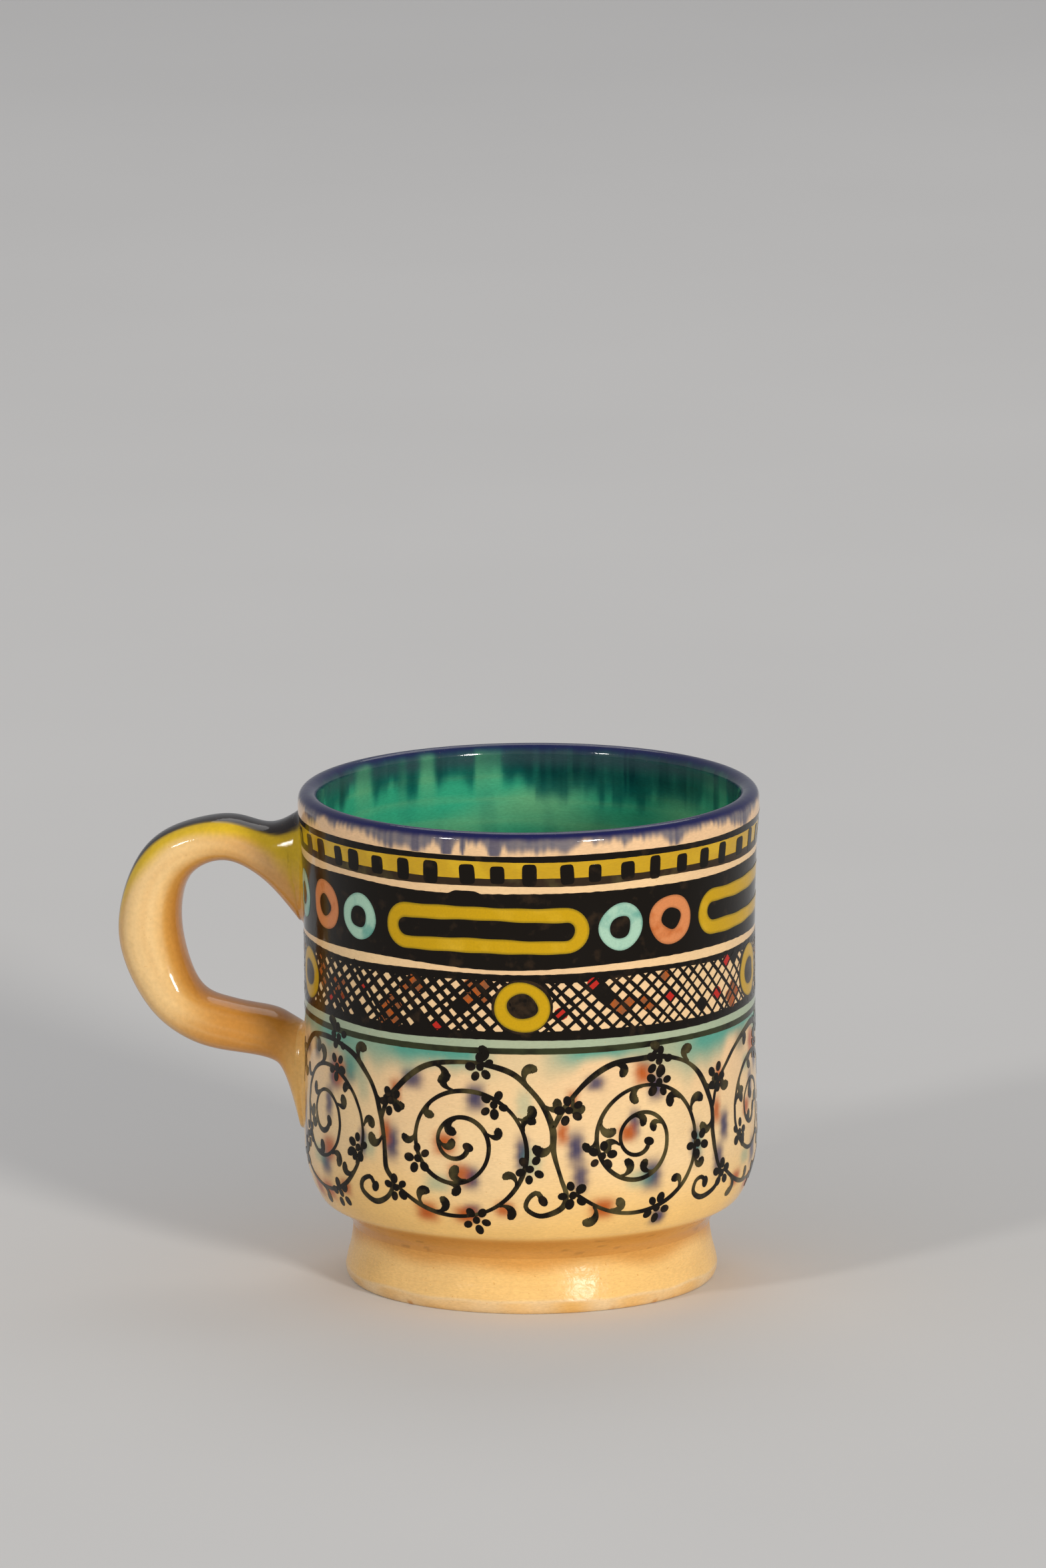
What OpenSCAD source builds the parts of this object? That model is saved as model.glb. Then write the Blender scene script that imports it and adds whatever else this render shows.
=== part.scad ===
// Footed clay mug: a thrown cup on a turned foot ring, with a pulled loop handle luted on with slip,
// a glazed lining and a glazed lip.
// Millimetres, +Z up. The origin is the centre of the foot's resting face, and the handle points along -X.

/* [Cup] */
// Height of the cup, from the table to the top of the lip
cup_h = 90; // [72:0.5:110]
// Outer radius of the upright wall
wall_r = 41.1; // [38:0.1:48]
// Thickness of the wall just above the floor
wall_t = 3.5; // [2.5:0.1:5]
// Thickness of the floor
floor_t = 5; // [3.5:0.5:8]
// Radius of the hollow corner between floor and wall
floor_fillet = 9; // [4:0.5:14]
// How far the wall draws in between belly and lip
waist = 0.4; // [0:0.1:1]

/* [Lip] */
// How far the lip flares out beyond the wall
lip_flare = 0.7; // [0:0.1:3]
// Thickness of the rounded lip
lip_t = 3.7; // [2.4:0.1:5]

/* [Underside and belly] */
// Height of the hollow underside, from the neck to the corner
underside_h = 4.8; // [2:0.1:7]
// How far the corner lies inside the line of the wall
corner_inset = 3.2; // [1:0.1:6]
// Height of the rounded belly, from the corner to the upright wall
belly_h = 12; // [7:0.5:20]

/* [Foot] */
// Height of the foot ring
foot_h = 10; // [6:0.1:14]
// Outer radius of the neck, where the foot meets the cup
neck_r = 32.4; // [28:0.1:35]
// How far the foot's bead stands out beyond the neck
foot_flare = 1.4; // [0.5:0.1:3]
// Thickness of the foot ring at the neck
foot_wall = 5.8; // [4:0.1:9]
// Height of the widest place of the foot ring
foot_bead_h = 2.2; // [1.6:0.1:4]
// Width of the bevel at the resting edge
foot_bevel = 0.9; // [0.3:0.1:2]

/* [Glaze] */
// Thickness of the glaze coats
glaze_t = 0.3; // [0.2:0.05:0.6]
// Height of the rim glaze on the outside of the lip
rim_glaze_h = 4; // [3:0.1:8]
// Height of the rim glaze on the inside of the lip
rim_glaze_in_h = 5; // [3:0.1:10]

/* [Finger gap] */
// Depth of the finger gap, from the wall to the inside of the loop
finger_depth = 23.2; // [18:0.1:32]
// Height of the finger gap, as a share of the wall's height from the corner to the lip
finger_share = 0.349; // [0.3:0.001:0.42]
// Distance from the lip down to the middle of the finger gap, as a share of the wall's height
finger_drop_share = 0.37; // [0.33:0.002:0.41]

/* [Handle] */
// Thickness of the strap over the crown of the loop
crown_t = 8.2; // [6:0.1:12]
// Thickness of the strap at the outside of the loop
side_t = 11.6; // [7:0.1:15]
// Thickness of the strap along its lower run
run_t = 9; // [6:0.1:12]
// Width of the strap, measured along the rim
strap_w = 13; // [9:0.1:18]
// Width of the strap's flared ends
joint_w = 14.5; // [11:0.1:20]
// Distance from the lip down to the top of the upper joint
upper_joint_drop = 5; // [4.2:0.1:10]
// Height of the upper joint, as a share of the wall's height
upper_joint_share = 0.278; // [0.18:0.001:0.3]
// Distance from the finger gap's lower edge down to the lower joint, as a share of the wall's height
lower_drop_share = 0.054; // [0.03:0.002:0.08]
// Height of the lower joint, as a share of the wall's height
lower_joint_share = 0.26; // [0.18:0.001:0.3]
// Thickness of the slip between the wall and the handle's ends
slip_t = 0.6; // [0.3:0.1:1.5]

/* [Hidden] */

revolve_fn = 240;
curve_steps = 10;
clay = "#e8c48c";
bare_clay = "#dcab63";
slip_clay = "#cf9a4e";
lining_green = "#2d9669";
rim_cobalt = "#1e2360";

// Heights and radii that follow from the driving sizes
corner = [wall_r - corner_inset, foot_h + underside_h];
belly_z = corner[1] + belly_h;
floor_z = foot_h + floor_t;
inner_r = wall_r - wall_t;
lip_r = wall_r + lip_flare;
lip_c = [lip_r - lip_t / 2, cup_h - lip_t / 2];
rim_glaze_z = cup_h - rim_glaze_h;
lining_top_z = cup_h - rim_glaze_in_h;
foot_r = neck_r + foot_flare;
foot_in_r = neck_r - foot_wall;
foot_bevel_h = foot_bevel * 1.6;

// Handle: the strap's section, and its heights as shares of the wall it stands on
strap_sides = 24;
strap_steps = 6;
strap_squareness = 2.3;
seat_columns = 8;
seat_gap = 0.02;
joint_r = wall_r + slip_t;
wall_h = cup_h - corner[1];
finger_h = wall_h * finger_share;
finger_z = cup_h - wall_h * finger_drop_share;
upper_joint_z = cup_h - upper_joint_drop;
upper_joint_h = wall_h * upper_joint_share;
lower_joint_z = finger_z - finger_h / 2 - wall_h * lower_drop_share;
lower_joint_h = wall_h * lower_joint_share;

// Points of a cubic curve through p[0] and p[3], pulled towards p[1] and p[2]
function cubic(p) = [
    for (i = [0 : curve_steps])
        let (t = i / curve_steps, u = 1 - t)
        u * u * u * p[0] + 3 * u * u * t * p[1] + 3 * u * t * t * p[2] + t * t * t * p[3]
];

// Points of a round arc
function arc(centre, r, from, to) = [
    for (i = [0 : curve_steps])
        let (a = from + (to - from) * i / curve_steps)
        centre + r * [cos(a), sin(a)]
];

// A list of points taken from its end to its start
function backwards(points) = [for (i = [len(points) - 1 : -1 : 0]) points[i]];

// A list of points without its last one
function without_last(points) = [for (i = [0 : len(points) - 2]) points[i]];

// Outer line of the cup from the neck out along the hollow underside, then round the belly
function belly_line() = concat(
    without_last(cubic([
        [neck_r, foot_h],
        [neck_r, foot_h + underside_h * 0.3],
        [neck_r + (corner[0] - neck_r) * 0.5, foot_h + underside_h * 0.77],
        corner
    ])),
    cubic([
        corner,
        corner + [corner_inset * 0.55, belly_h * 0.25],
        [wall_r, corner[1] + belly_h * 0.5],
        [wall_r, belly_z]
    ])
);

// Outer line of the upright wall, drawn in at the waist and flared under the lip
function wall_line() =
    let (rise = rim_glaze_z - belly_z, waist_r = wall_r - waist)
    cubic([
        [wall_r, belly_z],
        [waist_r, belly_z + rise * 0.5],
        [waist_r, belly_z + rise * 0.9],
        [lip_r, rim_glaze_z]
    ]);

// Outer radius of the wall at height z
function wall_at(z) = lookup(z, [for (p = concat(belly_line(), wall_line())) [p[1], p[0]]]);

// Line over the lip and down the inside to the axis, set back by a coat of glaze
function lip_line(coat) = arc(lip_c, lip_t / 2 - coat, 0, 180);
function lining_line(coat) = concat(
    arc([inner_r - floor_fillet, floor_z + floor_fillet], floor_fillet + coat, 0, -90),
    [[0, floor_z - coat]]
);

// Inner radius of the finished cup at a height on its upright inside
function inside_r(z) =
    let (low = floor_z + floor_fillet, share = (z - low) / (lip_c[1] - low))
    inner_r + (lip_r - lip_t - inner_r) * share;

// A sine or cosine filled out, so that a section drawn with it lies between an oval and a rectangle
function squared(v) = sign(v) * pow(abs(v), 2 / strap_squareness);

// A smooth line through every value of list p, at station s
function through(p, s) =
    let (
        last = len(p) - 1,
        i = min(floor(s), last - 1),
        t = s - i,
        a = p[max(i - 1, 0)],
        b = p[i],
        c = p[i + 1],
        d = p[min(i + 2, last)]
    )
    b + (c - a) * t / 2 + (2 * a - 5 * b + 4 * c - d) * t * t / 2
    + (3 * b - a - 3 * c + d) * t * t * t / 2;

// Stations of the strap between its two joints, as shares of the finger gap's depth and half height,
// the direction in which the strap's thickness is laid, and that thickness
strap_stations = [
    [0.31, 0.73, 93, (upper_joint_h + crown_t) * 0.35],
    [0.63, 1, 82, crown_t],
    [0.93, 0.73, 39, (crown_t + side_t) / 2],
    [1, 0.03, -2, side_t],
    [0.86, -0.79, -21, (run_t + side_t) / 2],
    [0.59, -1, -52, (run_t + side_t) / 2],
    [0.28, -1.09, -85, run_t],
    [0.13, -1.21, -87, (lower_joint_h + run_t) * 0.37]
];

// Inner and outer edges of the strap, each as [radius from the cup's axis, height]
inner_edge = concat(
    [[joint_r, upper_joint_z - upper_joint_h]],
    [for (q = strap_stations) [wall_r + q[0] * finger_depth, finger_z + q[1] * finger_h / 2]],
    [[joint_r, lower_joint_z]]
);
outer_edge = concat(
    [[joint_r, upper_joint_z]],
    [
        for (i = [0 : len(strap_stations) - 1])
            let (q = strap_stations[i])
            inner_edge[i + 1] + q[3] * [cos(q[2]), sin(q[2])]
    ],
    [[joint_r, lower_joint_z - lower_joint_h]]
);
strap_half_w = concat(
    [joint_w / 2],
    [for (q = strap_stations) strap_w / 2],
    [joint_w / 2]
);

// One closed section of the strap at station s, as points in space
function strap_ring(s) =
    let (
        inner = through(inner_edge, s),
        outer = through(outer_edge, s),
        half_w = through(strap_half_w, s),
        mid = (inner + outer) / 2,
        half = (outer - inner) / 2
    )
    [
        for (j = [0 : strap_sides - 1])
            let (
                a = 360 * j / strap_sides,
                p = mid + squared(cos(a)) * half
            )
            [-p[0], half_w * squared(sin(a)), p[1]]
    ];

// Outline of a flared end of the strap, as seen from the cup's axis
function strap_end(s) = [for (p = strap_ring(s)) [p[1], p[2]]];

// The point at [y, z] of the curved seat that the slip offers to the strap, clear of the slip by the dip
// of the seat's flat facets
function seat_point(q) =
    let (r = wall_at(q[1]) + slip_t + seat_gap)
    [-sqrt(r * r - q[0] * q[0]), q[0], q[1]];
function seated(ring) = [for (p = ring) seat_point([p[1], p[2]])];

// Points inside a seated end: rows from side to side between pairs of the ring's points
function seat_rows(ring) = [
    for (j = [1 : strap_sides / 2 - 1], c = [1 : seat_columns - 1])
        seat_point([ring[j][1] * (1 - 2 * c / seat_columns), ring[j][2]])
];

// Number of the point in column c of row j of a seat, where the ring starts at first and the rows at inside
function seat_index(first, inside, j, c) =
    c == 0 ? first + j
    : c == seat_columns ? first + strap_sides - j
    : inside + (j - 1) * (seat_columns - 1) + c - 1;

// Triangles of a seated end, from the ring's top point down to its bottom point
function seat_faces(first, inside) =
    let (
        half = strap_sides / 2,
        at = function (j, c) seat_index(first, inside, j, c)
    )
    concat(
        [for (c = [0 : seat_columns - 1]) [first, at(1, c), at(1, c + 1)]],
        [
            for (j = [1 : half - 2], c = [0 : seat_columns - 1])
                each [[at(j, c), at(j + 1, c), at(j, c + 1)], [at(j, c + 1), at(j + 1, c), at(j + 1, c + 1)]]
        ],
        [for (c = [0 : seat_columns - 1]) [at(half - 1, c), first + half, at(half - 1, c + 1)]]
    );

// The cup's outside, solid inside and set outwards by a coat
module cup_envelope(coat) {
    rotate_extrude($fn = revolve_fn)
        polygon(concat(
            [[0, foot_h]],
            [for (p = concat(belly_line(), wall_line())) [p[0] + coat, p[1]]],
            [[lip_r + coat, cup_h], [0, cup_h]]
        ));
}

module cup_body() {
    color(clay)
        rotate_extrude($fn = revolve_fn)
            polygon(concat(
                [[0, foot_h]],
                belly_line(),
                wall_line(),
                [[lip_r - glaze_t, rim_glaze_z]],
                lip_line(glaze_t),
                lining_line(glaze_t)
            ));
}

module foot_ring() {
    cove_h = foot_h - foot_bead_h;
    color(bare_clay)
        rotate_extrude($fn = revolve_fn)
            polygon(concat(
                [
                    [foot_in_r, foot_h],
                    [foot_in_r, foot_bevel_h],
                    [foot_in_r + foot_bevel, 0],
                    [foot_r - foot_bevel, 0],
                    [foot_r, foot_bevel_h]
                ],
                cubic([
                    [foot_r, foot_bead_h],
                    [foot_r - foot_flare * 0.3, foot_bead_h + cove_h * 0.3],
                    [neck_r, foot_bead_h + cove_h * 0.6],
                    [neck_r, foot_h]
                ])
            ));
}

module handle() {
    stations = len(inner_edge) - 1;
    rings = stations * strap_steps;
    upper_ring = seated(strap_ring(0));
    lower_ring = seated(strap_ring(stations));
    rings_end = (rings + 1) * strap_sides;
    points = concat(
        upper_ring,
        [for (k = [1 : rings - 1]) each strap_ring(k / strap_steps)],
        lower_ring,
        seat_rows(upper_ring),
        seat_rows(lower_ring)
    );
    side_faces = [
        for (k = [0 : rings - 1], j = [0 : strap_sides - 1])
            let (
                a = k * strap_sides + j,
                b = k * strap_sides + (j + 1) % strap_sides,
                c = a + strap_sides,
                d = b + strap_sides
            )
            each [[a, c, b], [b, c, d]]
    ];
    upper_seat = seat_faces(0, rings_end);
    lower_seat = [
        for (f = seat_faces(rings * strap_sides, rings_end + len(seat_rows(upper_ring)))) backwards(f)
    ];
    color(clay)
        polyhedron(points, concat(side_faces, upper_seat, lower_seat), convexity = 6);
}

// Slip between a seated end of the strap and the round wall
module slip_joint(outline) {
    reach = lip_r + slip_t;
    color(slip_clay)
        difference() {
            intersection() {
                translate([-reach, 0, 0])
                    rotate([90, 0, 90])
                        linear_extrude(reach)
                            polygon(outline);
                cup_envelope(slip_t);
            }
            cup_envelope(0);
        }
}

module upper_slip() {
    slip_joint(strap_end(0));
}

module lower_slip() {
    slip_joint(strap_end(len(inner_edge) - 1));
}

module lining_glaze() {
    top = inside_r(lining_top_z);
    color(lining_green)
        rotate_extrude($fn = revolve_fn)
            polygon(concat(
                [[top + glaze_t, lining_top_z]],
                lining_line(glaze_t),
                backwards(lining_line(0)),
                [[top, lining_top_z]]
            ));
}

module rim_glaze() {
    inside = inside_r(lining_top_z);
    color(rim_cobalt)
        rotate_extrude($fn = revolve_fn)
            polygon(concat(
                [[lip_r, rim_glaze_z]],
                lip_line(0),
                [[inside, lining_top_z], [inside + glaze_t, lining_top_z]],
                backwards(lip_line(glaze_t)),
                [[lip_r - glaze_t, rim_glaze_z]]
            ));
}

cup_body();
foot_ring();
handle();
upper_slip();
lower_slip();
lining_glaze();
rim_glaze();
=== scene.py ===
"""Looks of a footed clay mug: thrown cup, pulled handle, painted bands and scrolls under a clear glaze.

All sizes are in millimetres until a mesh is made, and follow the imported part. Angles around the cup are
measured from the line that faces the camera, to the right.
"""

import logging
import math
from collections.abc import Callable, Iterable, Sequence
from dataclasses import dataclass, field
from enum import Enum

import bpy
import numpy as np
from mathutils import Matrix, Vector


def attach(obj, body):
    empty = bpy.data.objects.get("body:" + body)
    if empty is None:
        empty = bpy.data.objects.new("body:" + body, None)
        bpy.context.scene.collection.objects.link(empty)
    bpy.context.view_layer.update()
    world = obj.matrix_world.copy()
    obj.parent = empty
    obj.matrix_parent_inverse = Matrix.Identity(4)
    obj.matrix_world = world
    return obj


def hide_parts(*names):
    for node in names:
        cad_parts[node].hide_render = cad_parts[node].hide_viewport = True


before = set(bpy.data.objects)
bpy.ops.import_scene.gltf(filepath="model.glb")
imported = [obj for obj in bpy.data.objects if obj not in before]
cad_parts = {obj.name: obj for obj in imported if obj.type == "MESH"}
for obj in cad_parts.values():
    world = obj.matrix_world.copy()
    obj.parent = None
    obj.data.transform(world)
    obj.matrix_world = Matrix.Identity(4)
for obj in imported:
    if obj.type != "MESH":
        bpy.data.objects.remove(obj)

Array = np.ndarray
Piece = bpy.types.Object
Socket = bpy.types.NodeSocket
Surface = bpy.types.Material

MM = 0.001
TURN = 2 * math.pi
# Angle of the camera about the cup's axis
FACING = math.radians(10.0)
# Length round the wall
GIRTH = 258.0
# How far painted layers reach into the wall
SUNK = 0.12
# Edges between faces that turn by more than this stay crisp on painted layers, in radians
CRISP = 0.6
# Points of a drawn stretch before they are set at even steps
FINE = 24
PAINTED = "painted_clay"
log = logging.getLogger("mug")


class Pigment(Enum):
    """Clay, glaze and paint colours, as they look in plain light (0 to 255)."""

    CREAM = (238, 203, 150)
    ROSE_CREAM = (233, 192, 146)
    OCHRE = (242, 196, 118)
    CARAMEL = (202, 136, 54)
    HONEY = (212, 156, 78)
    BISQUE = (232, 202, 156)
    BLACK = (17, 11, 5)
    UMBER = (50, 36, 22)
    DRAB = (84, 74, 42)
    YELLOW = (196, 154, 14)
    LEMON = (228, 188, 28)
    STRAW = (208, 166, 36)
    OLIVE = (112, 98, 20)
    MINT = (166, 202, 178)
    SEA = (104, 164, 148)
    ORANGE = (214, 134, 82)
    RUST = (180, 84, 14)
    SIENNA = (138, 84, 50)
    RED = (184, 38, 28)
    TURQUOISE = (72, 150, 131)
    PALE_SEA = (164, 176, 146)
    MOSS = (50, 54, 32)
    COBALT = (8, 14, 76)
    SLATE = (58, 76, 84)
    VIOLET = (50, 46, 82)
    LILAC = (96, 93, 106)
    SMOKE = (130, 119, 116)
    EMERALD = (54, 164, 126)
    LEAF = (122, 180, 128)
    TEAL = (4, 86, 82)
    PINE = (3, 44, 48)
    NAVY = (12, 16, 36)

    @property
    def light(self) -> Array:
        """Linear red, green and blue of the pigment."""
        share = np.asarray(self.value, float) / 255.0
        return np.where(share <= 0.04045, share / 12.92, ((share + 0.055) / 1.055) ** 2.4)

    @property
    def rgba(self) -> tuple[float, ...]:
        """The pigment as a shader colour."""
        return (*self.light.tolist(), 1.0)


class Proud(Enum):
    """How far each coat of paint stands proud of the wall, in millimetres."""

    BAND = 0.030
    CELL = 0.038
    LINE = 0.048
    DISC = 0.064
    RING = 0.075


def smooth(low: float | Array, high: float | Array, value: Array) -> Array:
    """Soft step of a value, from 0 at low to 1 at high."""
    share = np.clip((value - low) / (high - low), 0.0, 1.0)
    return share * share * (3.0 - 2.0 * share)


def hump(value: Array, middle: float | Array, half: float, power: float = 2.0) -> Array:
    """Soft rise to 1 at the middle and down to a third at the half width, squarer with a higher power."""
    return np.exp(-np.abs((value - middle) / half) ** power)


def wrapped(angle: Array, turn: float = TURN) -> Array:
    """The same place around, counted from half a turn back to half a turn ahead."""
    return (angle + turn / 2) % turn - turn / 2


def patch(theta: Array, degrees: float, half: float, power: float = 4.0) -> Array:
    """Hump about one place around the cup, with its place and half width in degrees."""
    return hump(np.degrees(wrapped(theta - math.radians(degrees))), 0.0, half, power)


def turns(count: int) -> Array:
    """Angles of equal steps round a full turn."""
    return np.linspace(0.0, TURN, count, endpoint=False)


def around(theta: Array, seed: int, lowest: int, highest: int) -> Array:
    """Uneven line that closes on itself around the cup.

    Args:
        theta: Angles around the cup.
        seed: Choice of the line.
        lowest: Fewest waves in one turn.
        highest: Most waves in one turn.

    Returns:
        Values about zero, with a spread of about one.
    """
    rng = np.random.default_rng(seed)
    count = 14
    waves = rng.integers(lowest, highest + 1, count)
    total = sum(np.cos(k * theta + p) for k, p in zip(waves, rng.uniform(0, TURN, count)))
    return total / math.sqrt(count / 2)


def blotches(theta: Array, z: Array, seed: int, size: float) -> Array:
    """Cloudy patches on the wall of the cup.

    Args:
        theta: Angles around the cup.
        z: Heights in millimetres.
        seed: Choice of the patches.
        size: Usual size of a patch in millimetres.

    Returns:
        Values about zero, with a spread of about one.
    """
    rng = np.random.default_rng(seed)
    count = 16
    total = np.zeros(np.broadcast(theta, z).shape)
    most = max(2, round(GIRTH / size))
    for _ in range(count):
        waves = int(rng.integers(1, most + 1)) * int(rng.choice((-1, 1)))
        rise = rng.uniform(0.15, 1.0) * TURN / size
        total = total + np.cos(waves * theta + rise * z + rng.uniform(0, TURN))
    return total / math.sqrt(count / 2)


def layered(shape: tuple[int, ...], base: Pigment, coats: Iterable[tuple[Pigment, Array]]) -> Array:
    """Colours of a pigment with coats of others laid over it.

    Args:
        shape: Shape of the colour field.
        base: Pigment underneath.
        coats: Pigments in the order of laying, each with its share at each place.

    Returns:
        Linear colours, with red, green and blue last.
    """
    colours = np.broadcast_to(base.light, (*shape, 3))
    for pigment, cover in coats:
        share = np.clip(cover, 0.0, 1.0)[..., None]
        colours = colours * (1.0 - share) + pigment.light * share
    return colours


def cubic(points: Sequence[Sequence[float]], steps: int) -> Array:
    """Points of a cubic curve.

    Args:
        points: Start, two pulls and end.
        steps: Number of equal steps.

    Returns:
        The points, one per row.
    """
    t = np.linspace(0.0, 1.0, steps + 1)[:, None]
    u = 1.0 - t
    a, b, c, d = (np.asarray(p, float) for p in points)
    return u ** 3 * a + 3 * u * u * t * b + 3 * u * t * t * c + t ** 3 * d


def passing(a: Array, b: Array, c: Array, d: Array, t: Array) -> Array:
    """Points at shares t of a smooth curve from b to c, on its way from a to d."""
    bend, twist = 2 * a - 5 * b + 4 * c - d, 3 * b - a - 3 * c + d
    return b + (c - a) * t / 2 + bend * t * t / 2 + twist * t ** 3 / 2


def arc(centre: Sequence[float], radius: float, start: float, end: float, steps: int) -> Array:
    """Points of a round arc from a start to an end angle in degrees, in equal steps."""
    turn = np.radians(np.linspace(start, end, steps + 1))
    return np.asarray(centre) + radius * np.column_stack((np.cos(turn), np.sin(turn)))


def oval(wide: float, tall: float, count: int, fullness: float = 2.0) -> Array:
    """Outline of an oval, counter-clockwise.

    Args:
        wide: Half width.
        tall: Half height.
        count: Number of points.
        fullness: 2 for an ellipse, more for a squarer shape.

    Returns:
        The points, one per row.
    """
    turn = turns(count)
    wave = np.column_stack((np.cos(turn), np.sin(turn)))
    return np.sign(wave) * np.abs(wave) ** (2 / fullness) * (wide, tall)


def paced(line: Array, step: float) -> Array:
    """A line's points set again at even steps.

    Args:
        line: Points, one per row.
        step: Distance between the new points.

    Returns:
        The new points, from end to end.
    """
    along = np.concatenate(([0.0], np.cumsum(np.linalg.norm(np.diff(line, axis=0), axis=1))))
    places = np.linspace(0, along[-1], max(4, round(along[-1] / step)) + 1)
    return np.column_stack([np.interp(places, along, c) for c in line.T])


def softened(line: Array, spread: float) -> Array:
    """A line with its bends eased, its two ends kept.

    Args:
        line: Points at even steps, one per row.
        spread: How far the easing reaches, in steps.

    Returns:
        As many points.
    """
    reach = math.ceil(2.7 * spread)
    weights = np.exp(-0.5 * (np.arange(-reach, reach + 1) / spread) ** 2)
    head, tail = 2 * line[:1] - line[reach:0:-1], 2 * line[-1:] - line[-2:-reach - 2:-1]
    padded = np.vstack((head, line, tail))
    return np.column_stack([np.convolve(c, weights / weights.sum(), "valid") for c in padded.T])


def thrown(theta: Array, z: Array) -> Array:
    """How far the potter's hands left the wall out of round, in millimetres."""
    sway = 0.07 * np.sin(2 * theta + 0.8) + 0.04 * np.sin(3 * theta - 0.4 + 0.02 * z)
    return sway + 0.02 * np.sin(z * 1.9 + 0.6 * np.sin(theta))


def on_round(theta: Array, radius: Array, z: Array) -> Array:
    """Points at angles around the cup, radii and heights."""
    turn = theta + FACING
    return np.stack((radius * np.sin(turn), -radius * np.cos(turn), z), -1)


class NodeBench:
    """Adds nodes to a shader or geometry tree and wires them."""

    def __init__(self, tree: bpy.types.NodeTree) -> None:
        """Keeps the tree that the nodes go into."""
        self.tree = tree

    def wire(self, node: bpy.types.Node, inputs: dict[int | str, object]) -> None:
        """Sets or links inputs of a node.

        Args:
            node: Node to wire.
            inputs: Socket index or name to a value or an output socket.
        """
        for key, value in inputs.items():
            if isinstance(value, Socket):
                self.tree.links.new(value, node.inputs[key])
            else:
                node.inputs[key].default_value = value

    def add(self, kind: str, inputs: dict | None = None, **settings: object) -> bpy.types.Node:
        """Adds one node.

        Args:
            kind: Blender's name of the node type.
            inputs: Socket index or name to a value or an output socket.
            **settings: Properties of the node.

        Returns:
            The new node.
        """
        node = self.tree.nodes.new(kind)
        for key, value in settings.items():
            setattr(node, key, value)
        self.wire(node, inputs or {})
        return node

    def first(self, kind: str, inputs: dict | None = None, **settings: object) -> Socket:
        """First output of a new node."""
        return self.add(kind, inputs, **settings).outputs[0]

    def maths(self, operation: str, *terms: object) -> Socket:
        """Result of a sum on values or sockets."""
        return self.first("ShaderNodeMath", dict(enumerate(terms)), operation=operation)

    def spread(self, value: Socket, low: float, high: float, start: object, end: object) -> Socket:
        """Maps a value from low and high to start and end, held at its ends."""
        return self.first("ShaderNodeMapRange", dict(enumerate((value, low, high, start, end))))

    def mix(self, share: object, first: object, second: object, blend: str = "MIX") -> Socket:
        """Mixes two colours, with a share of the second."""
        colours = {0: share, 6: first, 7: second}
        return self.add("ShaderNodeMix", colours, data_type="RGBA", blend_type=blend).outputs[2]


class FinishBench(NodeBench):
    """Bench of one material, whose patterns lie on the piece's own coordinates in metres."""

    def __init__(self, name: str) -> None:
        """Starts a material.

        Args:
            name: Name of the material.
        """
        self.material = bpy.data.materials.new(name)
        self.material.use_nodes = True
        super().__init__(self.material.node_tree)
        self.coords = self.add("ShaderNodeTexCoord").outputs["Object"]

    def stored(self, name: str, output: str) -> Socket:
        """Output of an attribute of the piece."""
        return self.add("ShaderNodeAttribute", attribute_name=name).outputs[output]

    def noise(self, size: float, detail: float = 2.0, coords: Socket | None = None) -> Socket:
        """Noise with grains of a size in millimetres, on the piece's coordinates or on others."""
        grains = {"Vector": coords or self.coords, "Scale": 1.0 / (size * MM), "Detail": detail}
        return self.first("ShaderNodeTexNoise", grains)

    def cloud(self, noise: Socket, low: float, high: float) -> Socket:
        """Noise that spreads from one value to another."""
        return self.spread(noise, 0.3, 0.7, low, high)

    def uneven(self, height: Socket, strength: float, depth: float) -> Socket:
        """Fine unevenness of the surface, with its depth in millimetres."""
        bumps = {"Height": height, "Strength": strength, "Distance": depth * MM}
        return self.first("ShaderNodeBump", bumps)

    def dress(self, inputs: dict[str, object]) -> Surface:
        """Sets the surface's inputs and returns the material."""
        self.wire(self.tree.nodes["Principled BSDF"], inputs)
        return self.material


@dataclass(frozen=True)
class Glaze:
    """Glossy glaze on clay, coloured by the piece's own colour attribute.

    Attributes:
        name: Name of the finish.
        rough: Middle roughness.
        grain: How strongly the clay's grain tints the colour.
        specks: How strongly dark specks show.
        dimple: Strength of the glaze's fine unevenness.
        speck: Pigment of the specks.
        wheel: How far the wheel drew the grain out, 1 for not at all.
        shine: Strength of the reflections.
    """

    name: str
    rough: float = 0.12
    grain: float = 0.06
    specks: float = 0.35
    dimple: float = 0.10
    speck: Pigment = Pigment.CARAMEL
    wheel: float = 3.5
    shine: float = 0.42

    def material(self) -> Surface:
        """Builds the material.

        Returns:
            The new material.
        """
        bench = FinishBench(self.name)
        broad, fine = 0.6 * self.grain, self.grain
        stretch = {"Vector": bench.coords, "Scale": (1.0, 1.0, self.wheel)}
        drawn_out = bench.first("ShaderNodeMapping", stretch)
        cloud = bench.cloud(bench.noise(9.0, 3.0), 1.0 - broad, 1.0 + broad)
        grain = bench.cloud(bench.noise(0.8, 4.0, drawn_out), 1.0 - fine, 1.0 + fine)
        tone = bench.maths("MULTIPLY", cloud, grain)
        toned = bench.mix(1.0, bench.stored("glaze", "Color"), tone, "MULTIPLY")
        dots = bench.spread(bench.noise(0.42, 1.0), 0.72, 0.78, 0.0, self.specks)
        skin = bench.maths("ADD", bench.noise(3.0), bench.maths("MULTIPLY", bench.noise(0.7), 0.35))
        return bench.dress({
            "Base Color": bench.mix(dots, toned, self.speck.rgba),
            "Roughness": bench.cloud(bench.noise(12.0), 0.7 * self.rough, 1.4 * self.rough),
            "Normal": bench.uneven(skin, self.dimple, 0.4),
            "Specular IOR Level": self.shine,
        })


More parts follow.
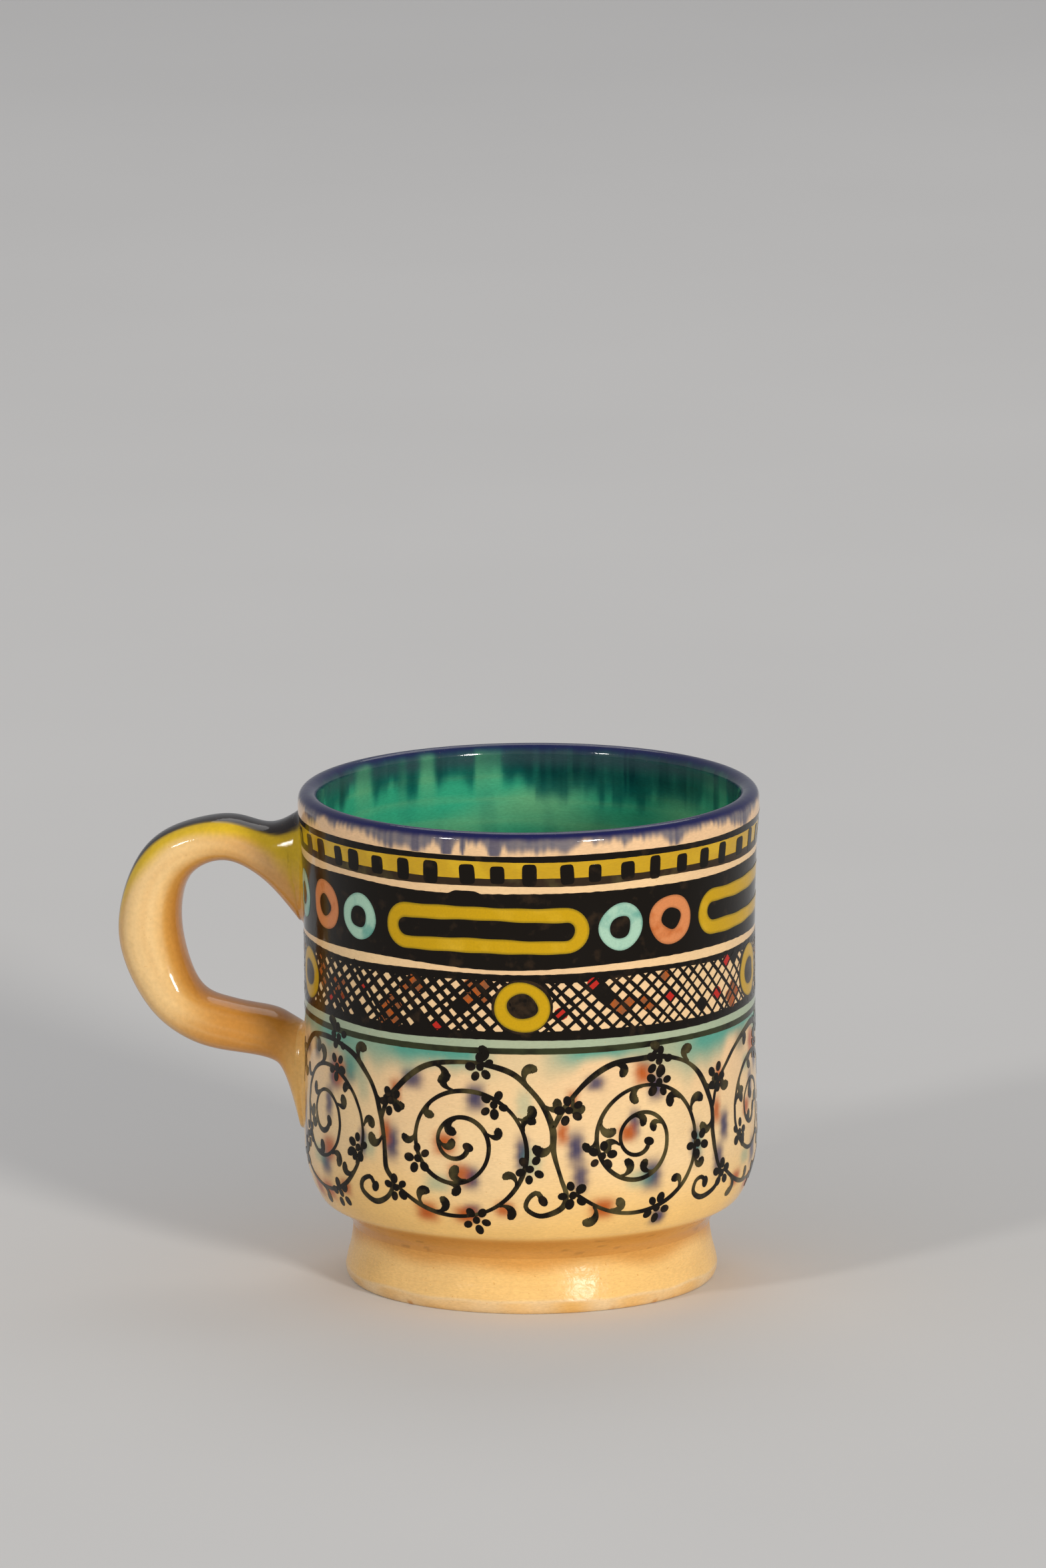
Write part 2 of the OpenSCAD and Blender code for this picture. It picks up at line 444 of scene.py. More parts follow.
@dataclass(frozen=True)
class Paint:
    """Brushed pigment under the clear glaze, thick in places and thin in others.

    Attributes:
        name: Name of the finish.
        thick: Pigment where the brush left much.
        thin: Pigment where it left little.
        patch: Size of the thick and thin patches in millimetres.
        bare: Share of thin patches.
        rim: Pigment that gathers along the edges of a stroke.
        gather: How strongly it gathers.
        rough: Middle roughness.
        shine: Strength of the reflections.
    """

    name: str
    thick: Pigment
    thin: Pigment
    patch: float = 3.0
    bare: float = 0.5
    rim: Pigment = Pigment.BLACK
    gather: float = 0.0
    rough: float = 0.13
    shine: float = 0.16

    def material(self) -> Surface:
        """Builds the material.

        Returns:
            The new material.
        """
        bench = FinishBench(self.name)
        low, high = 0.62 - 0.3 * self.bare, 0.80 - 0.2 * self.bare
        share = bench.spread(bench.noise(self.patch, 4.0), low, high, 0.0, 1.0)
        edge = bench.spread(bench.stored("edge", "Fac"), 0.62, 1.0, 0.0, self.gather)
        colour = bench.mix(edge, bench.mix(share, self.thick.rgba, self.thin.rgba), self.rim.rgba)
        streak = bench.cloud(bench.noise(0.3), 0.94, 1.05)
        return bench.dress({
            "Base Color": bench.mix(1.0, colour, streak, "MULTIPLY"),
            "Roughness": bench.cloud(bench.noise(5.0), 0.7 * self.rough, 1.5 * self.rough),
            "Normal": bench.uneven(bench.noise(1.2), 0.06, 0.3),
            "Specular IOR Level": self.shine,
        })


def linked(name: str, data: bpy.types.ID) -> Piece:
    """Makes an object and puts it in the scene.

    Args:
        name: Name of the object.
        data: Its mesh, curve, lamp or camera.

    Returns:
        The new object, at the origin.
    """
    made = bpy.data.objects.new(name, data)
    bpy.context.scene.collection.objects.link(made)
    return made


def rounds(rows: int, columns: int, capped: bool, flip: bool = False) -> list[list[int]]:
    """Faces of a grid of points whose rows go round.

    Args:
        rows: Number of rows.
        columns: Points in a row.
        capped: Whether two more points close the first and the last row, which otherwise join.
        flip: Whether the faces look the other way.

    Returns:
        Numbers of each face's points.
    """
    index = np.arange(rows * columns).reshape(rows, columns)
    near = index[:-1] if capped else index
    far = np.roll(index, -1, 0)[:len(near)]
    quads = np.stack((near, np.roll(near, -1, 1), np.roll(far, -1, 1), far), -1)
    faces = quads.reshape(-1, 4).tolist()
    if capped:
        hub, low, high = np.full(columns, rows * columns), index[0], index[-1]
        faces += np.column_stack((hub, np.roll(low, -1), low)).tolist()
        faces += np.column_stack((hub + 1, high, np.roll(high, -1))).tolist()
    return [[face[0], *face[:0:-1]] for face in faces] if flip else faces


def mesh_object(name: str, points: Array, faces: Sequence[Sequence[int]]) -> Piece:
    """Makes a smooth mesh object in the scene.

    Args:
        name: Name of the object.
        points: Vertices in metres.
        faces: Vertex numbers of each face.

    Returns:
        The new object, at the origin.
    """
    mesh = bpy.data.meshes.new(name)
    mesh.from_pydata(points.tolist(), [], faces)
    mesh.validate()
    mesh.shade_smooth()
    return linked(name, mesh)


def shell(
    name: str, grid: Array, colours: Array, finish: Surface, ends: Array | None = None, flip: bool = False,
) -> Piece:
    """Makes a closed, coloured piece from rows of points that go round.

    Args:
        name: Name of the piece.
        grid: Points by rows, in millimetres.
        colours: Linear colours by rows.
        finish: Material that reads the colours.
        ends: Points that close the first and the last row, which otherwise join.
        flip: Whether the faces look the other way.

    Returns:
        The new object.
    """
    rows, columns = grid.shape[:2]
    points, shades = grid.reshape(-1, 3), colours.reshape(-1, 3)
    if ends is not None:
        points = np.vstack((points, ends))
        shades = np.vstack((shades, colours[0].mean(0), colours[-1].mean(0)))
    made = mesh_object(name, points * MM, rounds(rows, columns, ends is not None, flip))
    layer = made.data.color_attributes.new("glaze", "FLOAT_COLOR", "POINT")
    rgba = np.ones((len(shades), 4), np.float32)
    rgba[:, :3] = shades
    layer.data.foreach_set("color", rgba.ravel())
    made.data.materials.append(finish)
    return made


def place(made: Piece, slot: str, *nodes: str) -> None:
    """Puts a finished piece on the mug's body and reports it.

    Args:
        made: Finished piece.
        slot: The record's material slot; not used.
        *nodes: CAD nodes that the piece stands for.
    """
    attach(made, "root")
    if nodes:
        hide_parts(*nodes)
    faces = sum(len(p.vertices) - 2 for p in made.data.polygons)
    log.info("%s: %d triangles, stands for %s", made.name, faces, ", ".join(nodes) or "nothing else")


@dataclass
class Lathe:
    """Spins a profile about the cup's axis.

    Attributes:
        columns: Number of faces around.
        crisp: Edges between faces that turn by more than this stay crisp, in radians.
    """

    columns: int = 360
    crisp: float = 1.0

    def spin(
        self, name: str, profile: Array, loop: bool, paint: Callable[[Array, Array, Array], Array],
        finish: Surface,
    ) -> Piece:
        """Makes the spun piece and paints it.

        Args:
            name: Name of the piece.
            profile: Radius and height of each row, outside upwards, in millimetres.
            loop: Whether the last row joins the first; otherwise both ends lie on the axis.
            paint: Gives the colours from angle, radius and height.
            finish: Material of the piece.

        Returns:
            The new object.
        """
        rows = profile if loop else profile[1:-1]
        ends = None if loop else np.array([[0, 0, profile[0, 1]], [0, 0, profile[-1, 1]]])
        theta = turns(self.columns)[None, :]
        z = np.repeat(rows[:, 1:2], self.columns, 1)
        radius = rows[:, 0:1] + thrown(theta, z)
        made = shell(name, on_round(theta, radius, z), paint(theta + 0 * z, radius, z), finish, ends)
        made.data.set_sharp_from_angle(angle=self.crisp)
        return made


@dataclass
class CupLines:
    """The cup's lines, as radius and height in millimetres.

    Attributes:
        height: Height of the lip.
        wall_r: Outer radius of the upright wall.
        wall_t: Thickness of the wall above the floor.
        waist: How far the wall draws in.
        lip_r: Outer radius of the lip.
        lip_t: Thickness of the lip.
        neck_r: Radius of the neck above the foot.
        foot_h: Height of the foot.
        corner: Corner between underside and belly.
        belly_z: Height at which the wall gets upright.
        floor_z: Height of the floor inside.
        fillet: Radius of the hollow corner inside.
        rim_z: Lower edge of the rim glaze outside.
        rim_in_z: Lower edge of the rim glaze inside.
        coat: Thickness of the glaze coats.
    """

    height: float = 90.0
    wall_r: float = 41.1
    wall_t: float = 3.5
    waist: float = 0.4
    lip_r: float = 41.8
    lip_t: float = 3.7
    neck_r: float = 32.4
    foot_h: float = 10.0
    corner: tuple[float, float] = (37.9, 14.8)
    belly_z: float = 26.8
    floor_z: float = 15.0
    fillet: float = 9.0
    rim_z: float = 86.0
    rim_in_z: float = 85.0
    coat: float = 0.3

    @property
    def lip_z(self) -> float:
        """Height of the lip's widest place."""
        return self.height - self.lip_t / 2

    def outside(self) -> Array:
        """Rows from the neck along the hollow underside, round the belly and up to the rim glaze.

        Returns:
            Radius and height of each row.
        """
        neck_r, foot_h, wall_r, belly_z = self.neck_r, self.foot_h, self.wall_r, self.belly_z
        corner_r, corner_z = self.corner
        thin, inset = wall_r - self.waist, wall_r - corner_r
        under_h, belly_h, rise = corner_z - foot_h, belly_z - corner_z, self.rim_z - belly_z
        under = cubic((
            (neck_r, foot_h), (neck_r, foot_h + under_h * 0.3),
            ((neck_r + corner_r) / 2, foot_h + under_h * 0.77), self.corner,
        ), 60)
        belly = cubic((
            self.corner, (corner_r + inset * 0.55, corner_z + belly_h * 0.25),
            (wall_r, corner_z + belly_h * 0.5), (wall_r, belly_z),
        ), 90)
        wall = cubic((
            (wall_r, belly_z), (thin, belly_z + rise * 0.5), (thin, belly_z + rise * 0.9),
            (self.lip_r, self.rim_z),
        ), 400)
        low = softened(paced(np.vstack((under[:-1], belly)), 0.25), 2.6)[::2]
        heights = np.arange(belly_z, self.rim_z - 0.2, 0.45)
        upright = np.column_stack((np.interp(heights, wall[:, 1], wall[:, 0]), heights))
        return np.vstack((low[low[:, 1] < belly_z - 0.2], upright, [[self.lip_r, self.rim_z]]))

    def wall_at(self, z: Array) -> Array:
        """Outer radius of the wall at a height."""
        line = self.outside()
        return np.interp(z, line[:, 1], line[:, 0])

    def lip(self, coat: float, steps: int) -> Array:
        """Rows over the lip from outside to inside, set back by a coat."""
        return arc((self.lip_r - self.lip_t / 2, self.lip_z), self.lip_t / 2 - coat, 0, 180, steps)

    def inside_at(self, z: float) -> float:
        """Inner radius of the finished cup on its upright inside."""
        low, inner = self.floor_z + self.fillet, self.wall_r - self.wall_t
        return inner + (self.lip_r - self.lip_t - inner) * (z - low) / (self.lip_z - low)

    def hollow(self, coat: float) -> Array:
        """Rows down the inside from under the lip to the axis.

        Args:
            coat: How far the rows are set back.

        Returns:
            Radius and height of each row.
        """
        middle, low = self.wall_r - self.wall_t - self.fillet, self.floor_z + self.fillet
        heights = np.arange(self.rim_in_z, low + 0.3, -0.7)
        upright = np.array([[self.inside_at(z) + coat, z] for z in heights])
        bend = arc((middle, low), self.fillet + coat, 0, -90, 16)
        flat = np.linspace((middle, self.floor_z - coat), (0, self.floor_z - coat), 22)
        return np.vstack((upright, bend, flat[1:]))


@dataclass
class Smear:
    """A soft smear of pigment on the wall: place, half size in millimetres, pigment and strength."""

    theta: float
    z: float
    half_w: float
    half_h: float
    pigment: Pigment
    strength: float

    def cover(self, theta: Array, z: Array, radius: float) -> Array:
        """Share of its pigment at each place on a wall of a radius."""
        x = wrapped(theta - self.theta) * radius + 0.12 * np.sin(z * 3.1)
        return self.strength * hump(x, 0.0, self.half_w, 3.2) * hump(z, self.z, self.half_h, 3.2)


@dataclass
class CupBody:
    """The thrown cup with its soft washes of colour.

    Attributes:
        lines: The cup's lines.
        units: Angles of the scrolls' middles in degrees.
        scroll_z: Height of the scrolls' middles.
        left_out: Share of the smears that a scroll lacks.
        under_r: Radius of the first row of faces on the underside.
    """

    lines: CupLines
    units: tuple[float, ...] = (-64.5, -18.0, 29.0, 76.0, 123.0, 170.0, 217.0)
    scroll_z: float = 33.4
    left_out: float = 0.25
    under_r: float = 16.0

    # Smears of each pigment at a scroll: place from its middle, half size, and strength
    SPOTS = {
        Pigment.VIOLET: (
            (3.2, 8.4, 1.6, 2.3, 0.97), (0.4, 2.8, 1.2, 2.6, 0.92), (1.0, -7.6, 1.7, 2.3, 0.97),
            (-13.2, -1.2, 1.3, 2.6, 0.97), (-9.2, 11.2, 1.9, 1.6, 0.92), (11.4, -2.4, 1.1, 2.8, 0.97),
            (-12.4, -6.6, 1.4, 2.5, 0.92), (3.6, -14.0, 1.5, 1.4, 0.97),
        ),
        Pigment.RUST: (
            (1.4, 12.2, 1.5, 2.0, 1.0), (4.6, 9.4, 1.6, 2.0, 1.0), (-2.6, 0.2, 1.7, 1.7, 1.0),
            (0.4, -4.8, 1.9, 1.8, 0.95), (0.6, -13.8, 2.0, 1.5, 1.0), (-7.4, -13.4, 1.9, 1.6, 1.0),
            (-16.4, 0.8, 1.2, 2.4, 0.95), (-14.2, 7.0, 1.2, 2.2, 0.95), (6.8, -12.0, 1.4, 1.2, 0.95),
        ),
        Pigment.TURQUOISE: (
            (-3.8, 9.0, 2.2, 1.7, 0.55), (-3.4, -7.6, 2.3, 1.5, 0.5), (13.6, -3.0, 1.5, 2.4, 0.45),
            (11.6, 7.0, 1.3, 2.4, 0.4),
        ),
    }
    # Single smears near the pool: angle in degrees, height, half size, pigment and strength
    SINGLE = (
        (-70, 45.5, 1.5, 2.2, Pigment.NAVY, 0.9), (-53, 43.5, 1.7, 2.6, Pigment.SLATE, 0.85),
        (68, 47.0, 2.4, 2.6, Pigment.TEAL, 0.6), (-63, 46.4, 4.4, 3.0, Pigment.TEAL, 0.45),
        (-52, 45.0, 3.0, 3.4, Pigment.TURQUOISE, 0.7),
    )

    def smears(self) -> list[Smear]:
        """Single smears near the pool, and those that run from the scrolls, a little different on each.

        Returns:
            The smears, in the order of laying.
        """
        rng = np.random.default_rng(41)
        found = [Smear(math.radians(degrees), *rest) for degrees, *rest in self.SINGLE]
        spots = [(pigment, *spot) for pigment, group in self.SPOTS.items() for spot in group]
        for unit in self.units:
            for pigment, dx, dz, half_w, half_h, strength in spots:
                if rng.random() < self.left_out:
                    continue
                x, z = dx + rng.normal(0, 0.8), self.scroll_z + (dz + rng.normal(0, 0.7))
                grow = rng.uniform(0.9, 1.3)
                theta = math.radians(unit) + x / self.lines.wall_r
                found.append(Smear(theta, z, half_w * grow, half_h * grow, pigment, strength))
        return found

    def colours(self, theta: Array, radius: Array, z: Array) -> Array:
        """Colours of the clay and its washes, with painted shade on the underside.

        Args:
            theta: Angles around the cup.
            radius: Radii in millimetres.
            z: Heights in millimetres.

        Returns:
            Linear colours.
        """
        cloud = blotches(theta, z, 5, 30.0)
        turned = smooth(1.4, 2.2, blotches(theta, z * 4.0, 9, 5.0)) * (1.0 - smooth(13.4, 14.2, z))
        clay = [
            (Pigment.ROSE_CREAM, 0.5 * smooth(30, 52, z) + 0.15 * cloud),
            (Pigment.OCHRE, 1.0 - smooth(15.5, 31 + 3 * cloud, z)),
            # Caramel on the underside below the belly's corner: partly glaze pooled there, partly painted
            # shade where it faces down
            (Pigment.CARAMEL, 0.85 * (1.0 - smooth(13.4, 15.3, z))),
            (Pigment.UMBER, 0.3 * turned * smooth(26.0, 29.0, radius)),
        ]
        smears = [(smear.pigment, smear.cover(theta, z, self.lines.wall_r)) for smear in self.smears()]
        run = np.maximum(2.4, 5.0 + 1.6 * around(theta, 21, 2, 9) + 0.4 * around(theta, 22, 20, 60))
        pool = (1.0 - smooth(run * 0.2, run * 1.25, 50.3 - z)) * (z < 52.0)
        pale = 0.75 * hump(wrapped(theta + 0.07), 0.0, 0.20)
        thick = np.clip(0.95 - pale + 0.14 * around(theta, 23, 3, 12), 0.15, 0.98)
        yellow = smooth(80.9, 81.4, z) * (1.0 - smooth(85.2, 85.6, z))
        bands = [
            (Pigment.TURQUOISE, pool * thick),
            (Pigment.PALE_SEA, 0.95 * smooth(50.0, 50.5, z) * (1.0 - smooth(52.4, 52.8, z))),
            (Pigment.YELLOW, yellow),
            (Pigment.LEMON, yellow * 0.3 * smooth(0.1, 1.2, blotches(theta, z, 31, 9.0))),
        ]
        return layered(theta.shape, Pigment.CREAM, clay + smears + bands)

    def build(self) -> Piece:
        """Builds the cup.

        Returns:
            The new object.
        """
        lines, coat = self.lines, self.lines.coat
        profile = np.vstack((
            [[0.0, lines.foot_h], [self.under_r, lines.foot_h]], lines.outside(),
            [[lines.lip_r - coat, lines.rim_z]], lines.lip(coat, 12), lines.hollow(coat)[::3],
            [[0.0, lines.floor_z - coat]],
        ))
        made = Lathe().spin("cup_wall", profile, False, self.colours, Glaze(PAINTED).material())
        place(made, PAINTED, "cup_body")
        return made


@dataclass
class FootRing:
    """The turned foot with a coved neck and a bare resting edge.

    Attributes:
        lines: The cup's lines.
        foot_r: Radius of the bead.
        inner_r: Inner radius.
        bevel: Width of the bevel.
        bead_z: Height of the bead's widest place.
        glaze_z: Height at which the glaze ends above the resting edge.
    """

    lines: CupLines
    foot_r: float = 33.8
    inner_r: float = 26.6
    bevel: float = 0.9
    bead_z: float = 2.2
    glaze_z: float = 2.3

    def colours(self, theta: Array, radius: Array, z: Array) -> Array:
        """Colours of the foot: ochre, darker caramel in the cove from pooled glaze and painted shade, bare
        at the resting edge.

        Args:
            theta: Angles around the cup.
            radius: Radii in millimetres.
            z: Heights in millimetres.

        Returns:
            Linear colours.
        """
        turned = np.sin(z * 5.3 + 0.1 * around(theta, 53, 1, 4)) + 0.5 * blotches(theta, z * 5.0, 57, 20.0)
        edge = self.glaze_z + 0.12 * around(theta, 54, 2, 20)
        bare = 1.0 - smooth(edge - 0.25, edge + 0.15, z)
        worn = np.clip(0.5 + 0.2 * blotches(theta, z + radius, 56, 11.0), 0, 0.9)
        chip = smooth(1.5, 2.0, around(theta, 55, 18, 60)) * (1.0 - smooth(0.3, 1.2, z))
        return layered(theta.shape, Pigment.OCHRE, (
            (Pigment.CREAM, 0.2 + 0.1 * blotches(theta, z, 51, 30.0)),
            # Darker caramel in the cove: partly glaze pooled there, partly painted shade
            (Pigment.CARAMEL, 0.75 * smooth(6.6, 10.0, z + 0.5 * around(theta, 52, 2, 9))),
            (Pigment.HONEY, 0.10 * smooth(0.4, 1.6, turned)),
            (Pigment.HONEY, 0.5 * bare),
            (Pigment.BISQUE, bare * worn),
            (Pigment.BISQUE, 0.7 * hump(z, edge, 0.25)),
            (Pigment.CARAMEL, 0.8 * chip * smooth(self.foot_r - 1.8, self.foot_r - 0.8, radius)),
        ))

    def build(self) -> None:
        """Builds the foot ring."""
        foot_r, inner_r, bevel, bead_z = self.foot_r, self.inner_r, self.bevel, self.bead_z
        neck_r, foot_h = self.lines.neck_r, self.lines.foot_h
        cove, edge = foot_h - bead_z, bevel * 1.6
        outer = cubic((
            (foot_r, bead_z), (foot_r - 0.42, bead_z + cove * 0.3),
            (neck_r, bead_z + cove * 0.6), (neck_r, foot_h),
        ), 30)
        heel = cubic((
            (foot_r - bevel, 0.0), (foot_r - 0.45, 0.35), (foot_r - 0.02, edge * 0.7), (foot_r, bead_z),
        ), 12)
        toe = cubic((
            (inner_r, edge), (inner_r, edge * 0.4), (inner_r + 0.4, 0.0), (inner_r + bevel, 0.0),
        ), 6)
        wall_in = np.linspace((inner_r, foot_h), (inner_r, edge + 0.8), 8)
        sole = np.linspace((inner_r + bevel, 0.0), (foot_r - bevel, 0.0), 6)
        profile = np.vstack((wall_in, toe, sole[1:-1], heel, outer[1:]))
        clay = Glaze("foot_clay", rough=0.2, grain=0.08, specks=0.6, dimple=0.3, shine=0.22)
        made = Lathe().spin("foot_ring_turned", profile, True, self.colours, clay.material())
        place(made, "foot_clay", "foot_ring")


@dataclass
class GlazedInside:
    """The cobalt lip and the green lining, whose runs pass from one to the other.

    Attributes:
        lines: The cup's lines.
        outside: Angle, half width in degrees and length in millimetres of each run down the outside.
        bare: Angle and half width in degrees of each gap between the runs inside.
        least: Length of the glaze down the outside between its runs.
        deepest: Angle about which the runs inside are longest and darkest, in radians.
        deep_half: Half width of that place in radians.
    """

    lines: CupLines
    outside: tuple[tuple[float, float, float], ...] = (
        (-33.0, 10.5, 3.6), (-20.8, 1.9, 4.7), (-16.5, 0.6, 4.5), (-8.6, 1.9, 4.7), (-3.2, 2.8, 3.6),
        (6.0, 5.5, 3.5), (24.8, 1.4, 3.0), (39.0, 5.0, 3.2), (67.0, 6.0, 4.0), (96.0, 7.0, 3.5),
        (121.0, 3.0, 4.3), (140.0, 8.0, 3.4), (163.0, 2.0, 4.2), (178.0, 6.0, 3.1), (205.0, 4.0, 3.9),
        (228.0, 8.0, 3.0), (290.0, 3.0, 3.4),
    )
    bare: tuple[tuple[float, float], ...] = (
        (190.0, 2.6), (209.0, 2.7), (232.0, 4.0), (141.0, 2.2), (112.0, 3.0), (84.0, 5.0), (55.0, 3.0),
        (20.0, 6.0), (-20.0, 4.0), (-52.0, 5.0), (-83.0, 3.0),
    )
    least: float = 1.7
    deepest: float = 2.62
    deep_half: float = 0.65

    def runs(self, theta: Array) -> Array:
        """How far the thinned rim glaze runs down the outside at each angle, in millimetres."""
        bumps = [(length - self.least) * patch(theta, angle, half) for angle, half, length in self.outside]
        return self.least + np.maximum.reduce(bumps)

    def deep(self, theta: Array) -> Array:
        """Where the runs inside are longest and darkest, from 0 to 1."""
        return hump(wrapped(theta - self.deepest), 0.0, self.deep_half, 4.0)

    def wetted(self, theta: Array) -> Array:
        """Where the dark runs gather inside, from 0 to 1.

        Args:
            theta: Angles around the cup.

        Returns:
            One share for each angle.
        """
        share = smooth(-1.6, -0.7, around(theta, 64, 10, 30))
        for angle, half in self.bare:
            share = share * (1.0 - patch(theta, angle, half))
        return np.maximum(share, 0.9 * self.deep(theta))

    def drips(self, theta: Array, seed: int, count: int) -> Array:
        """Steps around the cup from 0 to 1, one for each drip, with soft sides.

        Args:
            theta: Angles around the cup.
            seed: Choice of the steps.
            count: Number of drips in the turn.

        Returns:
            One value for each angle.
        """
        steps = np.random.default_rng(seed).random(count)
        along = (theta + 0.02 * around(theta, seed, 5, 30)) % TURN / TURN * count
        one = along.astype(int) % count
        return steps[one] + (steps[(one + 1) % count] - steps[one]) * smooth(0.55, 1.0, along % 1.0)

    def hollow_colours(self, theta: Array, radius: Array, z: Array) -> Array:
        """Colours of the inside: emerald, with leaf-green streaks, dark runs from the lip and a painted
        reflection under it.

        Args:
            theta: Angles around the cup.
            radius: Radii in millimetres.
            z: Heights in millimetres.

        Returns:
            Linear colours.
        """
        depth = self.lines.height - z
        upright = smooth(20.0, 31.0, radius)
        pale = smooth(-0.8, 1.4, 0.6 * blotches(theta, z * 1.6, 61, 26.0) + (depth - 15.0) / 9.0)
        rings = smooth(0.0, 1.0, np.sin(z * 2.3 + 1.5 * around(theta, 63, 1, 3)) * np.sin(z * 0.71 + 1.0))
        strand = 0.5 * self.drips(theta, 66, 150) + 0.5 * self.drips(theta, 67, 260)
        deep, wetted = self.deep(theta), self.wetted(theta)
        mass = np.maximum(smooth(-1.2, 0.8, around(theta, 65, 9, 30)), 0.9 * deep)
        length = 0.9 + 2.0 * mass + 3.2 * self.drips(theta, 68, 120) + 2.4 * deep
        reach = 2.6 + (0.4 + 0.6 * wetted) * length
        wet = 1.0 - smooth(reach - 1.6, reach + 2.2, depth)
        dark = (0.1 + 0.3 * deep + 0.75 * strand) * (0.5 + 0.5 * mass) * wetted
        # Painted reflection: a grey sheen just under the lip inside
        painted_sheen = hump(depth, 2.2, 1.7) * (0.45 + 0.55 * wetted)
        return layered(theta.shape, Pigment.EMERALD, (
            (Pigment.LEAF, 0.75 * pale),
            (Pigment.TEAL, 0.22 * upright * smooth(0.2, 1.6, blotches(theta, z * 0.3, 62, 9.0))),
            (Pigment.LEAF, 0.22 * upright * rings),
            (Pigment.LEAF, 0.5 * (1.0 - wetted) * hump(depth, 3.0, 5.0)),
            (Pigment.TEAL, (0.72 + 0.22 * strand) * wet * (0.3 + 0.7 * wetted)),
            (Pigment.PINE, dark * (1.0 - smooth(reach * 0.5, reach + 0.9, depth))),
            # Slate under the lip: painted reflection
            (Pigment.SLATE, 0.9 * painted_sheen * (1.0 - 0.4 * strand)),
            (Pigment.COBALT, 0.95 * (1.0 - smooth(0.2, 1.8 + 0.25 * around(theta, 69, 10, 50), depth))),
        ))

    def lip_colours(self, theta: Array, radius: Array, z: Array) -> Array:
        """Colours of the lip: cobalt on top, thinning in runs to the cream clay outside.

        Args:
            theta: Angles around the cup.
            radius: Radii in millimetres.
            z: Heights in millimetres.

        Returns:
            Linear colours.
        """
        depth = self.lines.height - z
        crest = self.lines.lip_r - self.lines.lip_t / 2
        out = smooth(crest - 0.4, crest + 0.6, radius)[..., None]
        strand = smooth(-1.4, 1.4, around(theta, 73, 60, 220))
        reach = self.runs(theta) + 0.5 * (strand - 0.5) + 0.25 * around(theta, 75, 12, 50)
        thin = 1.0 - smooth(reach - 1.1, reach + 0.8, depth)
        outer = layered(theta.shape, Pigment.ROSE_CREAM, (
            (Pigment.SMOKE, 0.95 * thin),
            (Pigment.LILAC, thin * (0.4 + 0.4 * strand)),
            (Pigment.VIOLET, 0.45 * thin * smooth(3.8, 4.5, reach)),
            (Pigment.COBALT, 1.0 - smooth(0.5, 1.6 + 0.15 * around(theta, 74, 8, 60), depth)),
        ))
        return outer * out + self.hollow_colours(theta, radius, z) * (1.0 - out)

    def build(self) -> None:
        """Builds the lip and the lining."""
        lines = self.lines
        lip_r, coat, rim_z, rim_in_z = lines.lip_r, lines.coat, lines.rim_z, lines.rim_in_z
        inside = lines.inside_at(rim_in_z)
        outer = np.linspace((lip_r, rim_z), (lip_r, lines.lip_z), 9)
        inner = np.linspace((lip_r - lines.lip_t, lines.lip_z), (inside, rim_in_z), 9)
        profile = np.vstack((
            outer[:-1], lines.lip(0.0, 24), inner[1:], [[inside + coat, rim_in_z]],
            lines.lip(coat, 14)[::-1], [[lip_r - coat, rim_z]],
        ))
        cobalt = Glaze("cobalt_rim", rough=0.08, grain=0.08, specks=0.15, speck=Pigment.SMOKE, shine=0.45)
        rim = Lathe(720).spin("lip_cobalt", profile, True, self.lip_colours, cobalt.material())
        place(rim, "cobalt_rim", "rim_glaze")
        front, rear = lines.hollow(0.0), lines.hollow(coat)
        coats = np.vstack((rear[-1:], rear[-2::-3], front))
        green = Glaze("green_lining", rough=0.11, grain=0.10, specks=0.1, speck=Pigment.TEAL)
        lining = Lathe(480).spin("lining_green", coats, False, self.hollow_colours, green.material())
        place(lining, "green_lining", "lining_glaze")


